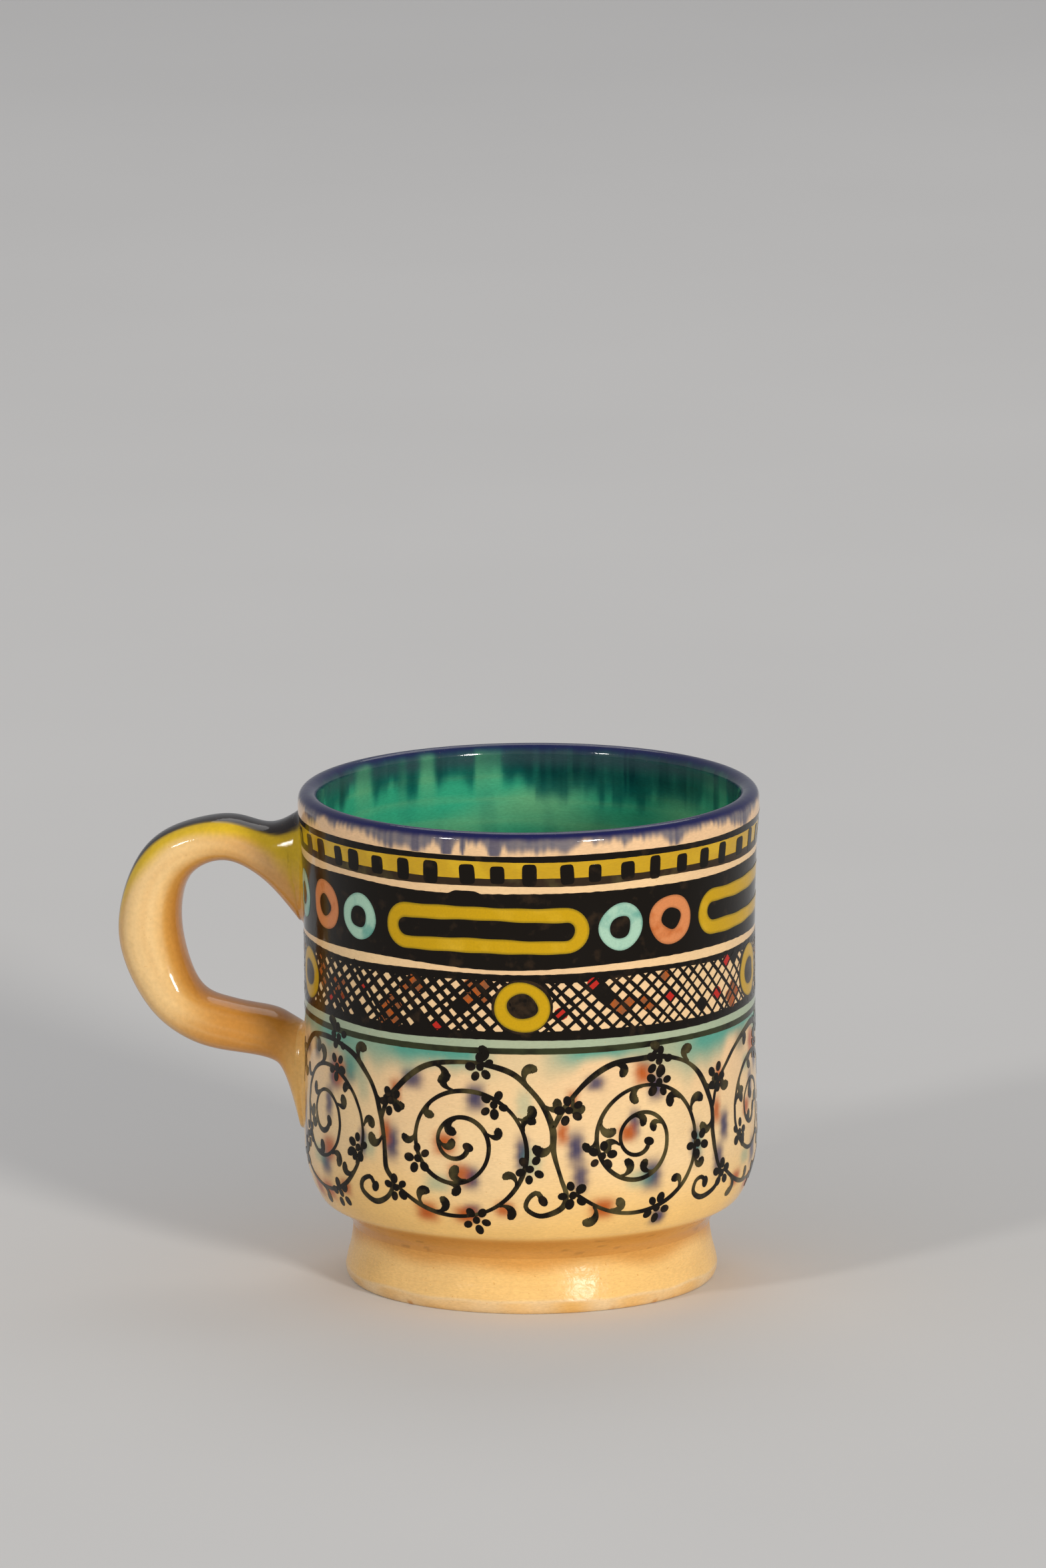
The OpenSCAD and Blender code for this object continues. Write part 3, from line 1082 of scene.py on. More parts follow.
@dataclass
class PulledHandle:
    """The pulled loop handle and the slip that lutes it to the wall.

    Attributes:
        lines: The cup's lines.
        depth: Depth of the finger gap.
        gap_h: Height of the finger gap.
        gap_z: Height of the finger gap's middle.
        crown_t: Thickness over the crown.
        side_t: Thickness at the outside.
        run_t: Thickness along the lower run.
        half_w: Half width of the strap.
        joint_half_w: Half width of the flared ends.
        upper: Top and bottom of the upper joint.
        lower: Top and bottom of the lower joint.
        slip_t: Thickness of the slip under the strap's ends.
        slip_edge: Half thickness of the slip's drawn-out edge.
        ends_in: How far the strap's ends are sunk into the wall.
        squareness: Fullness of the section, 2 for an oval.
        spans: Stretches between two stations.
        steps: Sections in a stretch.
        sides: Points around a section.
        collar: Sections that a collar of slip reaches up the strap.
    """

    lines: CupLines
    depth: float = 23.2
    gap_h: float = 26.245
    gap_z: float = 62.176
    crown_t: float = 8.2
    side_t: float = 11.6
    run_t: float = 9.0
    half_w: float = 6.5
    joint_half_w: float = 7.25
    upper: tuple[float, float] = (85.0, 64.09)
    lower: tuple[float, float] = (44.99, 25.44)
    slip_t: float = 0.6
    slip_edge: float = 0.05
    ends_in: float = 0.7
    squareness: float = 2.3
    spans: int = 9
    steps: int = 24
    sides: int = 64
    collar: int = 7

    def rails(self) -> tuple[Array, Array, Array]:
        """Inner edge, outer edge and half width of the strap along its run.

        Returns:
            The two edges as radius and height, and the half widths, one row for each section.
        """
        (upper_top, upper_foot), (lower_top, lower_foot) = self.upper, self.lower
        crown, side, run = self.crown_t, self.side_t, self.run_t
        bow, heel = (crown + side) / 2, (run + side) / 2
        upper_t, lower_t = (upper_top - upper_foot + crown) * 0.35, (lower_top - lower_foot + run) * 0.37
        # Share of the gap's depth, share of its half height, way across the strap in degrees, and thickness
        stations = (
            (0.31, 0.73, 93, upper_t), (0.63, 1.0, 82, crown), (0.93, 0.73, 39, bow), (1.0, 0.03, -2, side),
            (0.86, -0.79, -21, heel), (0.59, -1.0, -52, heel), (0.28, -1.09, -85, run),
            (0.13, -1.21, -87, lower_t),
        )
        seat = self.lines.wall_r + self.slip_t
        inner, outer = [(seat, upper_foot)], [(seat, upper_top)]
        for share, rise, turn, thick in stations:
            r = self.lines.wall_r + share * self.depth
            z = self.gap_z + rise * self.gap_h / 2
            inner.append((r, z))
            way = math.radians(turn)
            outer.append((r + thick * math.cos(way), z + thick * math.sin(way)))
        inner.append((seat, lower_top))
        outer.append((seat, lower_foot))
        half = [[self.joint_half_w], *([self.half_w] for _ in stations), [self.joint_half_w]]
        return self.eased(np.array(inner)), self.eased(np.array(outer)), self.eased(np.array(half))

    def eased(self, keys: Array) -> Array:
        """A smooth line through the stations' values.

        Args:
            keys: One row for each station.

        Returns:
            One row for each section.
        """
        s = self.along()
        i = np.minimum(s.astype(int), self.spans - 1)
        near, far = keys[np.maximum(i - 1, 0)], keys[np.minimum(i + 2, self.spans)]
        return softened(passing(near, keys[i], keys[i + 1], far, (s - i)[:, None]), 4.5)

    def along(self) -> Array:
        """Place of each section along the strap, in stretches from the upper joint."""
        return np.linspace(0, self.spans, self.spans * self.steps + 1)

    def sections(self) -> Array:
        """Points of every section in millimetres, with the two ends sunk into the wall.

        Returns:
            An array of sections by sides by three.
        """
        inner, outer, half = self.rails()
        out, side = oval(1.0, 1.0, self.sides, self.squareness).T
        middle, reach = (inner + outer) / 2, (outer - inner) / 2
        line = middle[:, None, :] + out[None, :, None] * reach[:, None, :]
        rings = np.stack((-line[..., 0], half * side[None, :], line[..., 1]), -1)
        for end in (0, -1):
            rings[end] = self.seated(rings[end], -self.ends_in)
        return rings

    def seated(self, ring: Array, proud: float) -> Array:
        """Moves points along the handle's line onto the wall.

        Args:
            ring: Points in millimetres.
            proud: How far they stand proud of the wall.

        Returns:
            The moved points.
        """
        y, z = ring[..., 1], ring[..., 2]
        r = self.lines.wall_at(z) + proud
        return np.stack((-np.sqrt(r * r - y * y), y, z), -1)

    def colours(self) -> Array:
        """Colours along the strap: a dark line on its back, a yellow wash beside it, caramel below, with
        painted light on its front and painted shade on its inner face and lower run.

        Returns:
            Linear colours for each section and side.
        """
        s, turn = self.along()[:, None], turns(self.sides)[None, :]
        lean = np.degrees(np.abs(wrapped(turn))) + 0 * s
        sway = np.sin(2.3 * s + 0.7) + 0.6 * np.sin(5.1 * s + 2 * np.sin(turn))
        # Painted light: a paler stripe on the side of the loop that faces the front, where the lamp falls
        light = hump(s, 3.8, 1.9, 4.0) * smooth(20, 60, lean) * (1 - smooth(95, 135, lean))
        grooves = around(turn + 0.2 * np.sin(1.3 * s), 88, 5, 26) * (1 - smooth(6.4, 8.2, s))
        edge = np.interp(s, (0, 0.35, 0.8, 2.0, 3.0, 3.8, 4.6), (122, 96, 82, 80, 66, 44, 8)) + 6 * sway
        wash = (1 - smooth(edge - 26, edge + 8, lean)) * (1 - smooth(3.4, 4.6, s))
        line = np.interp(s, (0, 0.7, 1.4, 2.2, 3.0, 3.6, 4.3), (46, 44, 38, 33, 29, 25, 12)) + 3 * sway
        back = (1 - smooth(line - 5, line + 5, lean)) * (1 - smooth(3.8, 4.5, s))
        return layered(lean.shape, Pigment.HONEY, (
            # Ochre and cream over that stripe: painted light
            (Pigment.OCHRE, 0.95 * light),
            (Pigment.CREAM, 0.6 * light),
            (Pigment.ROSE_CREAM, 0.35 * hump(s, 0.9, 0.8) * smooth(50, 90, lean)),
            # Caramel on the inner face: partly glaze pooled there, partly painted shade
            (Pigment.CARAMEL, 0.8 * smooth(112, 160, lean)),
            # Sienna on the inner face: painted shade
            (Pigment.SIENNA, 0.4 * smooth(130, 178, lean)),
            # Sienna along the lower run: painted shadow
            (Pigment.SIENNA, 0.16 * hump(s, 6.3, 0.8)),
            # Caramel on the lower run: partly the clay's own tone, partly painted shadow
            (Pigment.CARAMEL, 0.8 * smooth(5.0, 6.6, s) - 0.4 * smooth(7.0, 9.0, s)),
            (Pigment.CARAMEL, 0.15 * smooth(0.0, 1.6, grooves)),
            (Pigment.BISQUE, 0.11 * smooth(0.2, 1.8, -grooves)),
            (Pigment.OCHRE, 0.65 * smooth(7.6, 9.0, s)),
            (Pigment.LEMON, 0.95 * wash),
            (Pigment.OLIVE, 0.3 * wash * (1 - smooth(0.2, 1.3, s + 0.12 * sway))),
            (Pigment.CARAMEL, 0.35 * smooth(70, 120, lean) * (1 - smooth(0.3, 1.4, s))),
            (Pigment.NAVY, 0.97 * back),
        ))

    def fillet(self, name: str, upper: bool, width: float, finish: Surface) -> Piece:
        """Builds the hollow collar of slip around one end of the strap.

        Args:
            name: Name of the piece.
            upper: Whether it is the upper joint.
            width: How far the slip is drawn out over the wall.
            finish: Material of the slip.

        Returns:
            The new object.
        """
        rings, colours = self.sections(), self.colours()
        end, near = (0, self.collar) if upper else (-1, -1 - self.collar)
        foot, high = self.seated(rings[end], self.slip_edge), rings[near]
        away = foot - foot.mean(0)
        away[:, 0] = 0.0
        away /= np.linalg.norm(away, axis=1)[:, None]
        turn = turns(self.sides)
        uneven = width * (1.0 + 0.18 * np.sin(3 * turn + 1.0) + 0.12 * np.sin(7 * turn))[:, None]
        low = self.seated(foot + away * uneven, -self.slip_edge)
        shares = np.linspace(0, 1, 9)
        rows = [(1 - t) ** 2 * low + 2 * t * (1 - t) * foot + t * t * high for t in shares]
        inset = high + (high.mean(0) - high) * 0.12
        core = self.seated(foot - away * 0.9, -self.slip_t)
        rows.extend((inset, core, self.seated(low, -self.ends_in)))
        shades = [colours[near] * t + colours[end] * (1 - t) for t in (*shares, 1.0, 1.0, 1.0)]
        return shell(name, np.array(rows), np.array(shades), finish, flip=upper)

    def build(self) -> None:
        """Builds the strap and its two collars of slip."""
        clay = Glaze("handle_clay", rough=0.10, grain=0.06, specks=0.3, wheel=1.0, shine=0.34).material()
        slip = Glaze("joint_slip", rough=0.12, grain=0.08, specks=0.3, wheel=1.0, shine=0.34).material()
        rings = self.sections()
        ends = np.array([rings[0].mean(0), rings[-1].mean(0)])
        place(shell("pulled_handle", rings, self.colours(), clay, ends, flip=True), "handle_clay", "handle")
        place(self.fillet("upper_collar", True, 1.9, slip), "joint_slip", "upper_slip")
        place(self.fillet("lower_collar", False, 1.6, slip), "joint_slip", "lower_slip")


@dataclass
class Stroke:
    """One brush stroke on the unrolled wall.

    Attributes:
        path: Points along the wall and up it, in millimetres.
        half: Half width at each point.
        closed: Whether the stroke ends where it starts.
    """

    path: Array
    half: Array
    closed: bool = False


@dataclass
class Mark:
    """One touch of the brush on the unrolled wall: place, turn in radians, and size along both ways."""

    x: float
    z: float
    turn: float
    wide: float
    tall: float


def drawn(points: Sequence[Sequence[float]], step: float = 0.55, closed: bool = False) -> Array:
    """A smooth line through points, in even steps.

    Args:
        points: Points to pass through.
        step: Distance between the line's points.
        closed: Whether the line ends where it starts.

    Returns:
        The line's points.
    """
    keys = np.asarray(points, float)
    if closed:
        keys = np.vstack((keys[-1:], keys, keys[:2]))
    else:
        keys = np.vstack((2 * keys[:1] - keys[1:2], keys, 2 * keys[-1:] - keys[-2:-1]))
    t = np.linspace(0, 1, FINE, endpoint=False)[:, None]
    parts = [passing(*four, t) for four in zip(keys, keys[1:], keys[2:], keys[3:])]
    even = paced(np.vstack((*parts, keys[1:2] if closed else keys[-2:-1])), step)
    return even[:-1] if closed else even


def pressed(count: int, most: float, rng: np.random.Generator, start: float, end: float) -> Array:
    """Half widths of a stroke, drawn in at both ends and a little uneven.

    Args:
        count: Number of points.
        most: Half width in the middle.
        rng: Source of the unevenness.
        start: Share of the width at the start.
        end: Share of the width at the end.

    Returns:
        One half width for each point.
    """
    t = np.linspace(0, 1, count)
    shape = np.interp(t, (0.0, 0.06, 0.92, 1.0), (start, 1.0, 1.0, end))
    sway = sum(0.1 * np.sin(k * TURN * t + rng.uniform(0, 6.3)) for k in rng.uniform(1.5, 7.0, 3))
    return most * shape * (1.0 + sway)


class TreeBench(NodeBench):
    """Bench of a geometry tree, whose inputs are named after the values that it runs with.

    Flat paint lies along X and up Y, and its two faces lie above and below Z = 0.
    """

    KINDS = {type(None): "Geometry", int: "Int", float: "Float", Piece: "Object", Surface: "Material"}

    def __init__(self, name: str, values: dict[str, object]) -> None:
        """Starts a tree.

        Args:
            name: Name of the tree.
            values: Value of each input, none for geometry.
        """
        super().__init__(bpy.data.node_groups.new(name, "GeometryNodeTree"))
        self.values = values
        new_socket = self.tree.interface.new_socket
        new_socket(name="Geometry", in_out="OUTPUT", socket_type="NodeSocketGeometry")
        for label, value in values.items():
            kind = next(kind for base, kind in self.KINDS.items() if isinstance(value, base))
            new_socket(name=label, in_out="INPUT", socket_type="NodeSocket" + kind)
        self.given = self.add("NodeGroupInput").outputs

    def minus(self, value: Socket) -> Socket:
        """The value with its sign turned."""
        return self.maths("MULTIPLY", value, -1.0)

    def vector(self, x: object = 0.0, y: object = 0.0, z: object = 0.0) -> Socket:
        """Joins three values or sockets to a vector."""
        return self.first("ShaderNodeCombineXYZ", {0: x, 1: y, 2: z})

    def vectors(self, operation: str, terms: dict[int, object]) -> Socket:
        """Result of a sum on vectors."""
        return self.first("ShaderNodeVectorMath", terms, operation=operation)

    def chance(self, low: object, high: object, seed: object) -> Socket:
        """A random number between two values for each point."""
        return self.add("FunctionNodeRandomValue", {2: low, 3: high, 8: seed}).outputs[1]

    def spot(self) -> bpy.types.bpy_prop_collection:
        """The three numbers of a point's place."""
        return self.add("ShaderNodeSeparateXYZ", {0: self.first("GeometryNodeInputPosition")}).outputs

    def shape(self, label: str) -> Socket:
        """Geometry of the object that an input holds."""
        return self.add("GeometryNodeObjectInfo", {0: self.given[label]}).outputs["Geometry"]

    def swept(self, path: Socket, section: Socket, width: Socket) -> Socket:
        """Flat strokes of a section along paths, with a half width at each point."""
        level = self.first("GeometryNodeSetCurveNormal", {0: path}, mode="Z_UP")
        return self.first("GeometryNodeCurveToMesh", {
            "Curve": level, "Profile Curve": section, "Scale": width, "Fill Caps": True,
        })

    def stamped(self, points: Socket, touch: Socket, turn: Socket, size: object = (1.0,) * 3) -> Socket:
        """Copies of a touch on points, with a turn and a size for each."""
        angle = self.first("FunctionNodeEulerToRotation", {0: turn})
        return self.first("GeometryNodeInstanceOnPoints", {
            "Points": points, "Instance": touch, "Rotation": angle, "Scale": size,
        })

    def spaced(self, strays: Socket) -> Socket:
        """Points all round the wall at one height, each moved along it by how far it strays."""
        line = self.first("GeometryNodeMeshLine", {
            0: self.given["Count"], 2: self.vector(y=self.given["Height"]),
            3: self.vector(self.given["Pitch"]),
        })
        return self.first("GeometryNodeSetPosition", {0: line, "Offset": self.vector(strays)})


class WallPainter:
    """Lays flat brush strokes and touches on the wall through node trees, and places them."""

    # Half thickness of flat paint, and usual width of the rings of faces in a touch, in millimetres
    HALF_T = 0.1
    RING_W = 0.9
    # Distance from the axis at which rays to the wall start, in metres
    RAY = 0.1
    # Flat paint's two faces lie beyond this, in metres
    LEVEL = 2e-5

    def __init__(self, wall: Piece, radius: float) -> None:
        """Keeps the wall and builds the group that wraps flat paint on it.

        Args:
            wall: The cup's mesh object.
            radius: Radius in millimetres at which lengths along the wall are measured.
        """
        self.radius = radius
        self.common = {
            "Wall": wall, "Proud": 0.0, "Sunk": SUNK * MM, "Radius": radius * MM, "Facing": FACING,
        }
        self.wrap = self._wrap_group()

    def _wrap_group(self) -> bpy.types.NodeTree:
        """Builds the group that lays flat geometry on the wall.

        Returns:
            The group's tree.
        """
        bench = TreeBench("wrap_on_wall", {"Flat": None, **self.common})
        given, flat = bench.given, bench.spot()
        turn = bench.maths("ADD", bench.maths("DIVIDE", flat[0], given["Radius"]), given["Facing"])
        out = bench.vector(bench.maths("SINE", turn), bench.minus(bench.maths("COSINE", turn)))
        start = bench.vectors("MULTIPLY_ADD", {0: out, 1: (self.RAY,) * 3, 2: bench.vector(z=flat[1])})
        ray = bench.add("GeometryNodeRaycast", {
            "Target Geometry": bench.shape("Wall"), "Source Position": start,
            "Ray Direction": bench.vectors("SCALE", {0: out, 3: -1.0}), "Ray Length": self.RAY,
        }).outputs
        under = bench.minus(given["Sunk"])
        level = bench.spread(flat[2], -self.LEVEL, self.LEVEL, under, given["Proud"])
        raised = bench.vectors("SCALE", {0: ray["Hit Normal"], 3: level})
        spot = bench.vectors("ADD", {0: ray["Hit Position"], 1: raised})
        laid = bench.first("GeometryNodeSetPosition", {0: given["Flat"], "Position": spot})
        bench.add("NodeGroupOutput", {0: laid})
        return bench.tree

    def _tree(self, name: str, proud: Proud, paint: Surface, sizes: dict[str, object]) -> TreeBench:
        """Starts the tree of a piece, with the wall, the paint and some sizes as its inputs."""
        return TreeBench(name, {**sizes, **self.common, "Proud": proud.value * MM, "Paint": paint})

    def _lay(self, bench: TreeBench, flat: Socket) -> None:
        """Ends a piece's tree, runs it, and keeps and places its result as a plain mesh.

        Args:
            bench: Bench of the tree; helper objects among its values are removed.
            flat: The flat paint's geometry.
        """
        name = bench.tree.name
        real = bench.first("GeometryNodeRealizeInstances", {0: flat})
        wrapping = {"Flat": real, **{label: bench.given[label] for label in self.common}}
        laid = bench.first("GeometryNodeGroup", wrapping, node_tree=self.wrap)
        soft = bench.first("GeometryNodeSetShadeSmooth", {0: laid, "Shade Smooth": True})
        angle = bench.first("GeometryNodeInputMeshEdgeAngle")
        steep = bench.first("FunctionNodeCompare", {0: angle, 1: CRISP}, operation="GREATER_THAN")
        crisp = bench.first("GeometryNodeSetShadeSmooth", {0: soft, 1: steep, 2: False}, domain="EDGE")
        dressed = bench.first("GeometryNodeSetMaterial", {0: crisp, "Material": bench.given["Paint"]})
        bench.add("NodeGroupOutput", {0: dressed})
        host = linked(name + "_host", bpy.data.meshes.new(name + "_host"))
        modifier = host.modifiers.new("paint", "NODES")
        modifier.node_group = bench.tree
        for item in bench.tree.interface.items_tree:
            if item.in_out == "INPUT":
                modifier[item.identifier] = bench.values[item.name]
        bpy.context.view_layer.update()
        graph = bpy.context.evaluated_depsgraph_get()
        shown = host.evaluated_get(graph)
        mesh = bpy.data.meshes.new_from_object(shown, preserve_all_data_layers=True, depsgraph=graph)
        mesh.name = name
        host.modifiers.remove(modifier)
        helpers = (bench.values[label] for label in bench.values if label not in self.common)
        for helper in (host, *(value for value in helpers if isinstance(value, Piece))):
            bpy.data.objects.remove(helper)
        place(linked(name, mesh), PAINTED)

    def _curves(self, name: str, strokes: Sequence[Stroke]) -> Piece:
        """Makes a curve object of flat strokes, in metres.

        Args:
            name: Name of the object.
            strokes: Strokes to hold.

        Returns:
            The curve object.
        """
        data = bpy.data.curves.new(name, "CURVE")
        data.dimensions = "3D"
        for stroke in strokes:
            count = len(stroke.path)
            spline = data.splines.new("POLY")
            spline.points.add(count - 1)
            flat = np.column_stack((stroke.path * MM, np.zeros(count), np.ones(count)))
            spline.points.foreach_set("co", flat.ravel())
            spline.points.foreach_set("radius", stroke.half * MM)
            spline.use_cyclic_u = stroke.closed
        return linked(name, data)

    def _section(self, name: str, *inner: float) -> Piece:
        """Makes a stroke's flat section, 1 m to each side, with more points along one face."""
        outline = np.array([*((x, -1) for x in (-1, *inner, 1)), (1, 1), (-1, 1)]) / MM
        return self._curves(name + "_section", [Stroke(outline, np.full(len(outline), 1 / MM), True)])

    def _stamp(self, name: str, outline: Array) -> Piece:
        """Makes a closed flat touch of paint from an outline.

        Args:
            name: Name of the piece.
            outline: Outline in millimetres, counter-clockwise.

        Returns:
            The touch as a mesh object, in metres.
        """
        count, top = len(outline), self.HALF_T
        inner = max(1, round(np.abs(outline).max() / self.RING_W))
        levels = [*((k / inner, top) for k in range(1, inner + 1)), (1.0, -top)]
        rings = [np.column_stack((outline * share, np.full(count, depth))) for share, depth in levels]
        points = np.vstack((*rings, [[0, 0, top], [0, 0, -top]])) * MM
        return mesh_object(name + "_touch", points, rounds(len(levels), count, True, True))

    def strokes(self, name: str, strokes: Sequence[Stroke], proud: Proud, paint: Surface) -> None:
        """Lays brush strokes on the wall.

        Args:
            name: Name of the piece.
            strokes: Strokes to lay.
            proud: How far the paint stands proud.
            paint: Material of the paint.
        """
        lines, outline = self._curves(name + "_lines", strokes), self._section(name, -0.4, 0.4)
        bench = self._tree(name, proud, paint, {"Strokes": lines, "Section": outline})
        section = bench.first("GeometryNodeStoreNamedAttribute", {
            "Geometry": bench.shape("Section"), "Name": "edge",
            "Value": bench.maths("ABSOLUTE", bench.spot()[0]),
        })
        width = bench.first("GeometryNodeInputRadius")
        self._lay(bench, bench.swept(bench.shape("Strokes"), section, width))

    def touches(
        self, name: str, marks: Sequence[Mark], outline: Array, proud: Proud, paint: Surface,
    ) -> None:
        """Lays one touch of the brush at each mark.

        Args:
            name: Name of the piece.
            marks: Places, turns and sizes.
            outline: Outline of the touch in millimetres.
            proud: How far the paint stands proud.
            paint: Material of the paint.
        """
        spots = mesh_object(name + "_marks", np.array([[m.x, m.z, 0] for m in marks]) * MM, [])
        stored = {"turn": [(0, 0, m.turn) for m in marks], "size": [(m.wide, m.tall, 1) for m in marks]}
        for label, rows in stored.items():
            layer = spots.data.attributes.new(label, "FLOAT_VECTOR", "POINT")
            layer.data.foreach_set("vector", np.array(rows, np.float32).ravel())
        bench = self._tree(name, proud, paint, {"Marks": spots, "Touch": self._stamp(name, outline)})
        turn, size = (
            bench.first("GeometryNodeInputNamedAttribute", {0: label}, data_type="FLOAT_VECTOR")
            for label in stored
        )
        self._lay(bench, bench.stamped(bench.shape("Marks"), bench.shape("Touch"), turn, size))

    def row(
        self, name: str, outline: Array, count: int, height: float, uneven: float, seed: int, proud: Proud,
        paint: Surface,
    ) -> None:
        """Lays a row of touches all round the wall.

        Args:
            name: Name of the piece.
            outline: Outline of the touch in millimetres.
            count: Number of touches in the turn.
            height: Height of the row.
            uneven: Share by which places and sizes vary.
            seed: Choice of the variation.
            proud: How far the paint stands proud.
            paint: Material of the paint.
        """
        bench = self._tree(name, proud, paint, {
            "Touch": self._stamp(name, outline), "Count": count, "Pitch": TURN * self.radius * MM / count,
            "Height": height * MM, "Uneven": uneven, "Seed": seed,
        })
        high, choice = bench.given["Uneven"], bench.given["Seed"]
        low = bench.minus(high)
        shift = bench.chance(low, high, choice)
        spots = bench.spaced(bench.maths("MULTIPLY", shift, bench.given["Pitch"]))
        choices = [bench.maths("ADD", choice, number) for number in (1.0, 2.0)]
        grow = [bench.maths("ADD", bench.chance(low, high, other), 1.0) for other in choices]
        lean = bench.vector(z=bench.maths("MULTIPLY", shift, 0.5))
        self._lay(bench, bench.stamped(spots, bench.shape("Touch"), lean, bench.vector(*grow, 1.0)))

    def lattice(self, name: str, band: "LatticeBand", seed: int, proud: Proud, paint: Surface) -> None:
        """Lays a lattice of crossing lines all round the wall.

        Args:
            name: Name of the piece.
            band: Sizes of the lattice.
            seed: Choice of the lines' unevenness.
            proud: How far the paint stands proud.
            paint: Material of the paint.
        """
        bench = self._tree(name, proud, paint, {
            "Section": self._section(name), "Count": band.count, "Pitch": band.pitch * MM,
            "Height": band.middle * MM, "Reach": (band.top - band.bottom) / 2 * MM,
            "Lean 1": band.leans[0] * MM, "Lean 2": band.leans[1] * MM,
            "Half Width 1": band.halves[0] * MM, "Half Width 2": band.halves[1] * MM, "Seed": seed,
        })
        given, section = bench.given, bench.shape("Section")
        joined = bench.add("GeometryNodeJoinGeometry")
        side = bench.maths("SINE", bench.maths("DIVIDE", bench.spot()[0], given["Radius"]))
        heavy = bench.maths("MULTIPLY_ADD", side, band.wider, 1.0)
        slip, reach = bench.maths("MULTIPLY", given["Pitch"], band.slip), given["Reach"]
        for number, way in ((1, -0.5), (2, 0.5)):
            choice = bench.maths("ADD", given["Seed"], 10.0 * number)
            spots = bench.spaced(bench.chance(bench.minus(slip), slip, choice))
            turn = bench.vector(z=bench.chance(-band.sway, band.sway, bench.maths("ADD", choice, 1.0)))
            run = bench.maths("MULTIPLY", given["Lean %d" % number], way)
            ends = {0: bench.vector(bench.minus(run), bench.minus(reach)), 1: bench.vector(run, reach)}
            stroke = bench.first("GeometryNodeCurvePrimitiveLine", ends)
            even = bench.first("GeometryNodeResampleCurve", {0: stroke, "Count": band.points})
            real = bench.first("GeometryNodeRealizeInstances", {0: bench.stamped(spots, even, turn)})
            press = bench.maths("MULTIPLY", bench.chance(*band.press, choice), heavy)
            width = bench.maths("MULTIPLY", given["Half Width %d" % number], press)
            bench.tree.links.new(bench.swept(real, section, width), joined.inputs[0])
        self._lay(bench, joined.outputs[0])


@dataclass(frozen=True)
class Band:
    """One painted band round the wall.

    Attributes:
        low: Height of its lower edge.
        high: Height of its upper edge.
        uneven: How far the edges stray.
        seed: Choice of their lines.
        bulge: Angle and half width in degrees, and height, of a place where the brush strayed upwards.
    """

    low: float
    high: float
    uneven: float
    seed: int
    bulge: tuple[float, float, float] = (0.0, 1.0, 0.0)


@dataclass
class PaintedBands:
    """The dark bands and lines that run round the wall.

    Attributes:
        lines: The cup's lines.
        dark: The black bands, from the lip down.
        thin: The line under the yellow band.
        moss: The line under the pale green one.
        columns: Faces around.
        step: Usual height of a face.
    """

    lines: CupLines
    dark: tuple[Band, ...] = (
        Band(84.8, 86.0, 0.10, 81), Band(65.45, 79.0, 0.20, 83, (-16.5, 3.6, 0.55)),
        Band(62.9, 64.2, 0.16, 84), Band(52.05, 53.7, 0.13, 85),
    )
    thin: Band = Band(80.35, 81.75, 0.12, 82)
    moss: Band = Band(49.6, 50.7, 0.09, 86)
    columns: int = 720
    step: float = 1.4

    def edge(self, theta: Array, height: float, uneven: float, seed: int) -> Array:
        """Heights of one brushed edge around the wall."""
        sway = 0.85 * around(theta, seed, 2, 8) + 0.1 * around(theta, seed + 7, 40, 150)
        return height + uneven * sway

    def strip(self, band: Band) -> Array:
        """Points of one closed band.

        Args:
            band: The band's edges.

        Returns:
            Its points by rows.
        """
        theta = turns(self.columns)
        angle, half, rise = band.bulge
        low = self.edge(theta, band.low, band.uneven, band.seed)
        strayed = rise * patch(theta, angle, half, 6.0)
        high = self.edge(theta, band.high, band.uneven, band.seed + 40) + strayed
        shares = np.linspace(0, 1, max(3, round((band.high - band.low) / self.step)))
        rows = []
        for proud, way in ((Proud.BAND.value, 1), (-SUNK, -1)):
            for share in shares[::way]:
                z = low * (1 - share) + high * share
                rows.append(on_round(theta, self.lines.wall_at(z) + thrown(theta, z) + proud, z))
        return np.array(rows)

    def piece(self, name: str, bands: Sequence[Band], paint: Surface) -> None:
        """Builds some bands of one paint.

        Args:
            name: Name of the piece.
            bands: The bands.
            paint: Material of the bands.
        """
        points, faces = np.empty((0, 3)), []
        for band in bands:
            rows = self.strip(band)
            faces += (np.array(rounds(len(rows), self.columns, False)) + len(points)).tolist()
            points = np.vstack((points, rows.reshape(-1, 3)))
        made = mesh_object(name, points * MM, faces)
        made.data.set_sharp_from_angle(angle=CRISP)
        made.data.materials.append(paint)
        place(made, PAINTED)

    def build(self, black: Surface) -> None:
        """Builds the bands and lines.

        Args:
            black: Material of the dark bands.
        """
        umber = Paint("iron_thin", Pigment.UMBER, Pigment.DRAB, 5.0, 0.3).material()
        green = Paint("iron_on_sea", Pigment.MOSS, Pigment.BLACK, 6.0, 0.5).material()
        self.piece("dark_bands", self.dark, black)
        self.piece("thin_line", (self.thin,), umber)
        self.piece("moss_line", (self.moss,), green)


